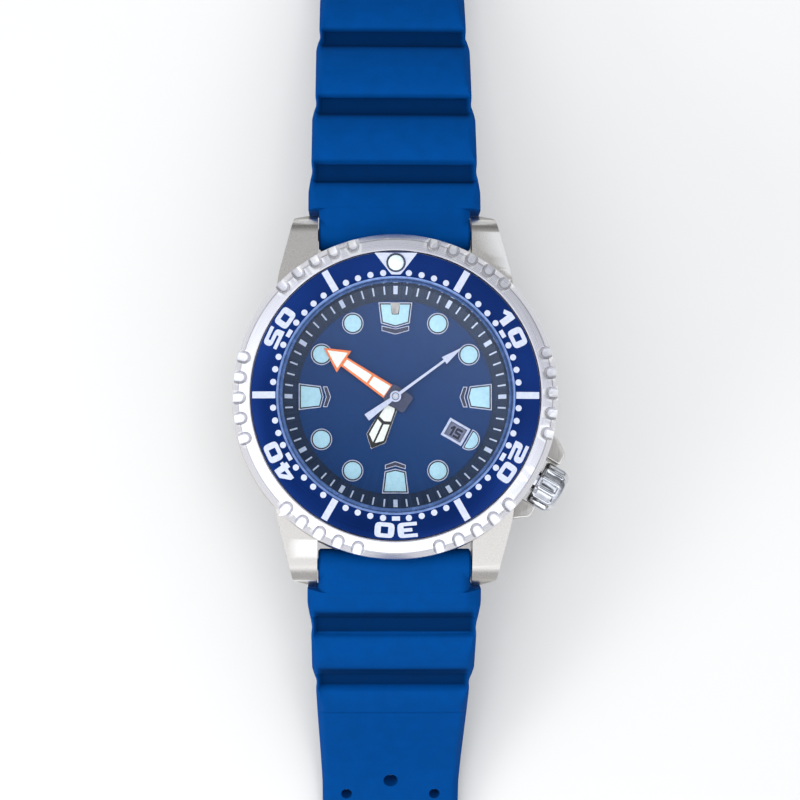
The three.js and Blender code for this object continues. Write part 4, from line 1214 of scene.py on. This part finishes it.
class StrapPath:
    """A strap half's centre line: its slope goes straight from knot to knot, [length, degrees
    down], all scaled alike so that the strap comes down by the drop, and then it lies flat."""

    step = 0.25

    def __init__(self, slopes, drop):
        self.slopes = slopes
        self.flat_from = slopes[-1][0]
        self.scale = 1.0
        for _ in range(12):
            fall = sum(self.step * math.sin(self.slope(s)) for s in self.stations())
            self.scale *= drop / fall
        self.places = [(BAR_Y, BAR_Z)]
        for s in self.stations():
            y, z = self.places[-1]
            self.places.append((y + self.step * math.cos(self.slope(s)),
                                z - self.step * math.sin(self.slope(s))))

    def stations(self):
        return [(i + 0.5) * self.step for i in range(round(self.flat_from / self.step))]

    def slope(self, s):
        return math.radians(self.scale * between(self.slopes, min(s, self.flat_from)))

    def at(self, s):
        """The place at a length along the strap, as y, z and the slope."""
        if s >= self.flat_from:
            y, z = self.places[-1]
            return y + s - self.flat_from, z, 0.0
        i = int(s / self.step)
        share = s / self.step - i
        (y0, z0), (y1, z1) = self.places[i], self.places[i + 1]
        return y0 + (y1 - y0) * share, z0 + (z1 - z0) * share, self.slope(s)


LONG_PATH = StrapPath([(0, 10), (8, 36), (20, 48), (32, 44), (48, 0)], 24.0)
SHORT_PATH = StrapPath([(0, 8), (10, 18), (20, 22), (32, 28), (46, 36), (64, 0)], 22.55)


def groove_drop(s, grooves):
    """How far the strap's top is below its full height: trenches, and pads that round into them."""
    half = GROOVE_WIDTH / 2
    drop = 0.0
    for at in grooves:
        away = abs(s - at)
        trench = GROOVE_DEPTH * (1 - smooth(half - 0.45, half + 0.1, away))
        shoulder = 0.8 * math.exp(-max(0.0, away - half) / 1.5) * min(1.0, away / half)
        drop = max(drop, math.hypot(trench, shoulder) if trench < GROOVE_DEPTH else GROOVE_DEPTH)
    return drop


def strap_ring(path, s, half, grooves, mirror):
    """A fine cross-section: flat below, round at the sides, bevelled and crowned on top."""
    y, z, slope = path.at(s)
    thick = between(THICKNESS, s) / 2
    notch = sum(0.12 * math.exp(-((s - at) / 0.8) ** 2) for at in grooves)
    half -= notch
    drop = groove_drop(s, grooves)
    if mirror < 0:
        step = LONG_STEP - s
        drop += 0.25 * smooth(-0.07, 0.07, -step) + 0.2 * math.exp(-((step / 0.22) ** 2))
    top = []
    across = 40
    for i in range(across + 1):
        share = -1 + 2 * i / across
        x = half * math.sin(share * math.pi / 2) * 0.999
        from_edge = half - abs(x)
        bevel = EDGE_BEVEL * (1 - smooth(-0.6, EDGE_BEVEL * 1.3, from_edge)) * 1.15
        hollow = drop * (0.4 + 0.6 * smooth(0.1, 0.9, from_edge))
        sink = math.hypot(max(hollow, bevel), 0.35 * min(hollow, bevel))
        crown = 0.18 * (share * share)
        wing = 0.0
        if mirror < 0:
            wing = 0.7 * smooth(END_HALF - 0.5, END_HALF + 0.5, abs(x)) * (1 - smooth(SHOULDER, 7, s))
        top.append((x, thick - sink - crown - wing))
    bottom = [(half * 0.985, -thick + 0.25), (half * 0.955, -thick + 0.05)]
    bottom += [(half * (0.93 - 1.86 * i / 12), -thick) for i in range(13)]
    bottom += [(-half * 0.955, -thick + 0.05), (-half * 0.985, -thick + 0.25)]
    section = top + bottom
    return [(x, mirror * (y + n * math.sin(slope)), z + n * math.cos(slope)) for x, n in section]


def mark_hollows(strap, path, half_widths, grooves):
    """Marks how far each vertex of the top lies down in a groove, as the mask for the painted shade in
    the strap's grooves.
    """
    step = 0.05
    track = [path.at(i * step)[:2] for i in range(round(40 / step))]
    reached = [y for y, _ in track]
    marks = strap.data.attributes.new("hollow", "FLOAT", "POINT")
    for vertex, mark in zip(strap.data.vertices, marks.data):
        i = min(bisect(reached, abs(vertex.co.y)), len(track) - 1)
        if vertex.co.z > track[i][1] - 0.5:
            depth = groove_drop(i * step, grooves) / GROOVE_DEPTH
            off_middle = min(1.0, min(abs(i * step - at) for at in grooves) / (GROOVE_WIDTH / 2))
            from_side = between(half_widths, i * step) - abs(vertex.co.x)
            # painted shade: darkest deep in a groove and a little darker towards its walls, fading out
            # near the strap's sides
            dark = max(0.0, min(1.0, 1.3 * depth - 0.5)) * (0.88 + 0.12 * off_middle**2)
            mark.value = dark * smooth(0.2, 0.9, from_side)


def strap_stations(start, end, grooves):
    """Lengths to cut the strap at, closer together at the grooves."""
    stations = [start]
    while stations[-1] < end:
        s = stations[-1]
        near = min([abs(s - at) for at in (*grooves, LONG_STEP)], default=99)
        step = 0.14 if near < 2.2 else 0.5 if s < 40 else 1.0
        stations.append(min(end, s + step))
    return stations


def strap_body(path, end, half_widths, grooves, mirror):
    """The rings of a strap half: a band between the lugs, then its full width from the shoulder on."""
    rings = [strap_ring(path, SHOULDER * i / 12, END_HALF, (), mirror) for i in range(13)]
    for s in strap_stations(SHOULDER + 0.02, end, grooves):
        rings.append(strap_ring(path, s, between(half_widths, s), grooves, mirror))
    return rings


def bar_roll(mirror):
    """The strap's rounded end, which turns on the spring bar."""
    return cross_bar("roll", blunt(2.1, END_HALF, 0.3), mirror * BAR_Y, BAR_Z)


def bar_bore(mirror):
    """The tool for the spring bar's hole."""
    return cross_bar("bar_bore", box(0, 1.02, -13, 13), mirror * BAR_Y, BAR_Z)


def strap_long():
    """The long half: grooves, adjusting holes with their vents, and a rounded tip."""
    mirror = -1
    tip = 9.0
    body_end = LONG_LENGTH - tip
    rings = strap_body(LONG_PATH, body_end, LONG_HALF_WIDTHS, LONG_GROOVES, mirror)
    for i in range(1, 25):
        turn = math.radians(i / 24 * 84)
        half = between(LONG_HALF_WIDTHS, body_end) * math.cos(turn)
        rings.append(strap_ring(LONG_PATH, body_end + tip * math.sin(turn), half, (), mirror))
    strap = loft("strap_long", rings)
    combine(strap, "UNION", [bar_roll(mirror)])
    holes = []
    for i in range(HOLE_COUNT):
        s = HOLE_FIRST + i * HOLE_PITCH
        holes.append(strap_hole(s, 0, HOLE_RADIUS, mirror))
        if i % 2 == 0:
            holes += [strap_hole(s + VENT_AFTER, x, 0.75, mirror) for x in (-VENT_ACROSS, VENT_ACROSS)]
    combine(strap, "DIFFERENCE", [bar_bore(mirror), together("holes", holes)])
    mark_hollows(strap, LONG_PATH, LONG_HALF_WIDTHS, LONG_GROOVES)
    dress(strap, "strap_long", "strap_blue", "strap_long", sharp=38)


def strap_hole(s, x, radius, mirror):
    """The tool for one hole, with a small countersink."""
    y, z, slope = LONG_PATH.at(s)
    top = between(THICKNESS, s) / 2
    profile = [(0, -4), (radius, -4), (radius, top - 0.15), (radius + 0.2, top + 0.1), (0, top + 0.1)]
    tool = turned("hole", profile, 40)
    tilt = Matrix.Rotation(-slope, 4, "X")
    return moved(tool, Matrix.Diagonal((1, mirror, 1, 1)) @ Matrix.Translation((x, y, z)) @ tilt)


def strap_short():
    """The short half: grooves, and a roll round the buckle's pin."""
    pin_y, pin_z, _ = SHORT_PATH.at(SHORT_LENGTH)
    rings = strap_body(SHORT_PATH, SHORT_LENGTH, SHORT_HALF_WIDTHS, SHORT_GROOVES, 1)
    strap = loft("strap_short", rings)
    roll = cross_bar("roll", blunt(1.9, SHORT_HALF_WIDTHS[-1][1], 0.3), pin_y, pin_z)
    combine(strap, "UNION", [bar_roll(1), roll])
    bore = cross_bar("pin_bore", box(0, 0.85, -13, 13), pin_y, pin_z)
    slot_outline = rounded(box(-1.5, 1.5, pin_y - 2.5, pin_y + 5), 0.4)
    slot = prism("tang_slot", [slot_outline], pin_z - 4, pin_z + 4)
    combine(strap, "DIFFERENCE", [bar_bore(1), bore, slot])
    mark_hollows(strap, SHORT_PATH, SHORT_HALF_WIDTHS, SHORT_GROOVES)
    dress(strap, "strap_short", "strap_blue", "strap_short", sharp=38)


def keeper():
    """The keeper: a moulded band with two ribs on its outer face."""
    bottom, top = low("keeper", Z), high("keeper", Z)
    half = high("keeper", X)
    start, end = low("keeper", Y), high("keeper", Y)
    wall = 1.3
    outside = zip(box(-half, half, bottom, top), (1.2, 1.2, 1.6, 1.6))
    inside = zip(box(wall - half, half - wall, bottom + wall, top - wall), (0.5, 0.5, 0.8, 0.8))
    outer_line, inner_line = [
        rounded([(x, z, corner) for (x, z), corner in line], 0, 8) for line in (outside, inside)
    ]
    ribs = [
        (rib + along, sink) for rib in (2.1, 3.8)
        for along, sink in ((0.0, 0.0), (0.3, 0.22), (0.8, 0.22), (1.1, 0.0))
    ]
    profile = [(0.0, 0.35), (0.2, 0.1), (0.6, 0.0), *ribs, (6.4, 0.0), (6.8, 0.1), (7.0, 0.35)]
    sections = [
        [(x, start + along, z) for x, z in inset(outer_line, sink)] for along, sink in profile
    ]
    sections += [[(x, y, z) for x, z in inner_line] for y in (end, start)]
    dress(loft("keeper", sections, closed=True), "keeper", "strap_blue", "keeper", sharp=40)


# ---------------------------------------------------------------- buckle


PIN_Y = (low("buckle_pin", Y) + high("buckle_pin", Y)) / 2
PIN_Z = (low("buckle_pin", Z) + high("buckle_pin", Z)) / 2
PIN_BORE = 0.83


def buckle_frame():
    """The buckle's frame, drawn round its pin."""
    half = high("buckle_frame", X)
    side_view = rounded([
        (-1.7, -0.6), (-1.7, 0.7), (-0.7, 1.6), (1.2, 1.6), (6, 0.7, 1.5), (10.8, -0.07, 1.5),
        (14, -0.6, 0.4), (14.6, -1.5, 0.5), (14.2, -2.85, 0.5), (10.4, -2.85, 1), (5, -2, 1.5),
        (1, -1.75, 0.8), (-0.8, -1.5, 0.5),
    ], 0.7, 5)
    body = side_prism("buckle_frame", [side_view], -half, half)
    plan = rounded([(-half, -3), (half, -3), (half, 15, 3), (-half, 15, 3)], 0.5, 8)
    combine(body, "INTERSECT", [prism("buckle_plan", [plan], -6, 6)])
    opening = rounded([(-9.35, -5, 0), (9.35, -5, 0), (9.35, 10.8, 1.2), (-9.35, 10.8, 1.2)], 0.5, 6)
    bore = cross_bar("bore", box(0, PIN_BORE, -13, 13), 0, 0)
    combine(body, "DIFFERENCE", [prism("opening", [opening], -6, 6), bore])
    soften(body, 0.2, 3, 40)
    dress(shifted(body, y=PIN_Y, z=PIN_Z), "buckle", "case_steel", "buckle_frame")


def buckle_tang():
    """The tang: a bent arm with the eye that it turns on."""
    half = high("buckle_tang", X)
    arm = rounded([(0, 0.06, 0), (12.9, 0.06), (13.4, 0.5, 0.3), (12.9, 1.25, 0.4), (0, 1.35, 0)], 0.2)
    tang = side_prism("buckle_tang", [arm], -half, half)
    combine(tang, "UNION", [cross_bar("eye", box(0, 1.6, -half, half), 0, 0)])
    combine(tang, "DIFFERENCE", [cross_bar("bore", box(0, PIN_BORE, -3, 3), 0, 0)])
    soften(tang, 0.15, 3, 40)
    dress(shifted(tang, y=PIN_Y, z=PIN_Z), "tang", "case_steel", "buckle_tang")


def buckle_pin():
    """The pin that the buckle and its tang turn on."""
    pin = cross_bar("buckle_pin_fine", blunt(0.75, high("buckle_pin", X), 0.15), PIN_Y, PIN_Z)
    dress(pin, "strap_short", "polished_steel", "buckle_pin")


# ---------------------------------------------------------------- making the watch

for make in (
    case_middle, case_back, crown, spring_bars, bezel, bezel_insert, insert_print, bezel_pip,
    crystal_disc, chapter_ring, dial, markers, date_window, date_ring, hour_hand, minute_hand,
    second_hand, strap_long, strap_short, keeper, buckle_frame, buckle_tang, buckle_pin,
):
    make()

for node in frame["nodes"].values():
    for material_slot in node.material_slots:
        material_slot.material = LOOKS[material_slot.material.name.split(".")[0]].material


# ---------------------------------------------------------------- stage

TENT_FRONT = 2.45
TENT_BACK = 0.85
TENT_SKIRT = 0.3
TENT_OPENING = 0.06


def camera():
    """Nearly straight above the dial, leaning a little towards 6 and 9 o'clock."""
    view = bpy.data.cameras.new("camera")
    view.sensor_width = 36.0
    distance = 330.0
    frame_width = 103.4
    view.lens = 36.0 * distance / frame_width
    view.clip_start = 0.01
    view.clip_end = 10.0
    target = Vector((0.52, -0.63, BEZEL_TOP))
    away = Vector((-0.028, -0.07, 0.997)).normalized()
    holder = bpy.data.objects.new("camera", view)
    holder.location = (target + away * distance) * MM
    across = Vector((0, 1, 0)).cross(away).normalized()
    facing = Matrix((across, away.cross(across), away)).transposed()
    holder.rotation_euler = facing.to_euler()
    bpy.context.scene.collection.objects.link(holder)
    bpy.context.scene.camera = holder


def floor():
    """A plain pale floor under the strap."""
    size = 3000.0
    corners = box(-size, size, -size, size)
    plane = shape("floor", [(x, y, FLOOR - 0.02) for x, y in corners], [(0, 1, 2, 3)])
    plane.data.transform(Matrix.Scale(MM, 4))
    stone = Finish("floor", "#d8d6d2", 0.8)
    plane.data.materials.append(stone.material)


def area_light(name, place, target, size, watts, colour):
    """A soft square light that metals don't mirror and the crystal doesn't show."""
    light = bpy.data.lights.new(name, "AREA")
    light.size = size
    light.energy = watts
    light.color = colour
    holder = bpy.data.objects.new(name, light)
    holder.location = place
    aim = Vector(target) - Vector(place)
    holder.rotation_euler = aim.to_track_quat("-Z", "Y").to_euler()
    holder.visible_glossy = False
    holder.visible_transmission = False
    bpy.context.scene.collection.objects.link(holder)


def world():
    """A studio tent: brightest towards 7 o'clock, with a dark opening overhead and a dim skirt."""
    sky = bpy.data.worlds.new("world")
    bpy.context.scene.world = sky
    sky.use_nodes = True
    tree = sky.node_tree
    place = wired(tree, "ShaderNodeTexCoord", "Generated", {})

    def level(axis, far, near, dim, bright):
        """A brightness that goes from dim to bright as a direction turns to an axis."""
        sides = {0: place, 1: axis}
        turn = wired(tree, "ShaderNodeVectorMath", "Value", sides, operation="DOT_PRODUCT")
        return ranged(tree, turn, far, near, dim, bright, interpolation_type="SMOOTHSTEP")

    strength = level((-0.5, -0.86, 0), -0.75, 0.75, TENT_BACK, TENT_FRONT)
    opening = level((-0.06, -0.14, 0.988), 0.945, 0.985, 1.0, TENT_OPENING)
    skirt = level((0, 0, 1), 0.25, 0.92, TENT_SKIRT, 1.0)
    for factor in (opening, skirt):
        strength = wired(tree, "ShaderNodeMath", "Value", {0: strength, 1: factor}, operation="MULTIPLY")
    background = tree.nodes["Background"]
    background.inputs["Color"].default_value = (0.91, 0.94, 1.0, 1)
    tree.links.new(strength, background.inputs["Strength"])


camera()
floor()
world()
area_light("key", (0.0, 0.01, 0.24), (0, 0.01, 0), 0.1, 0.26, (0.93, 0.97, 1.0))
area_light("side", (-0.6, -0.35, 0.35), (0, 0, 0), 0.3, 2.0, (1.0, 0.98, 0.96))
bpy.context.scene.view_settings.view_transform = "Standard"

bpy.context.view_layer.update()
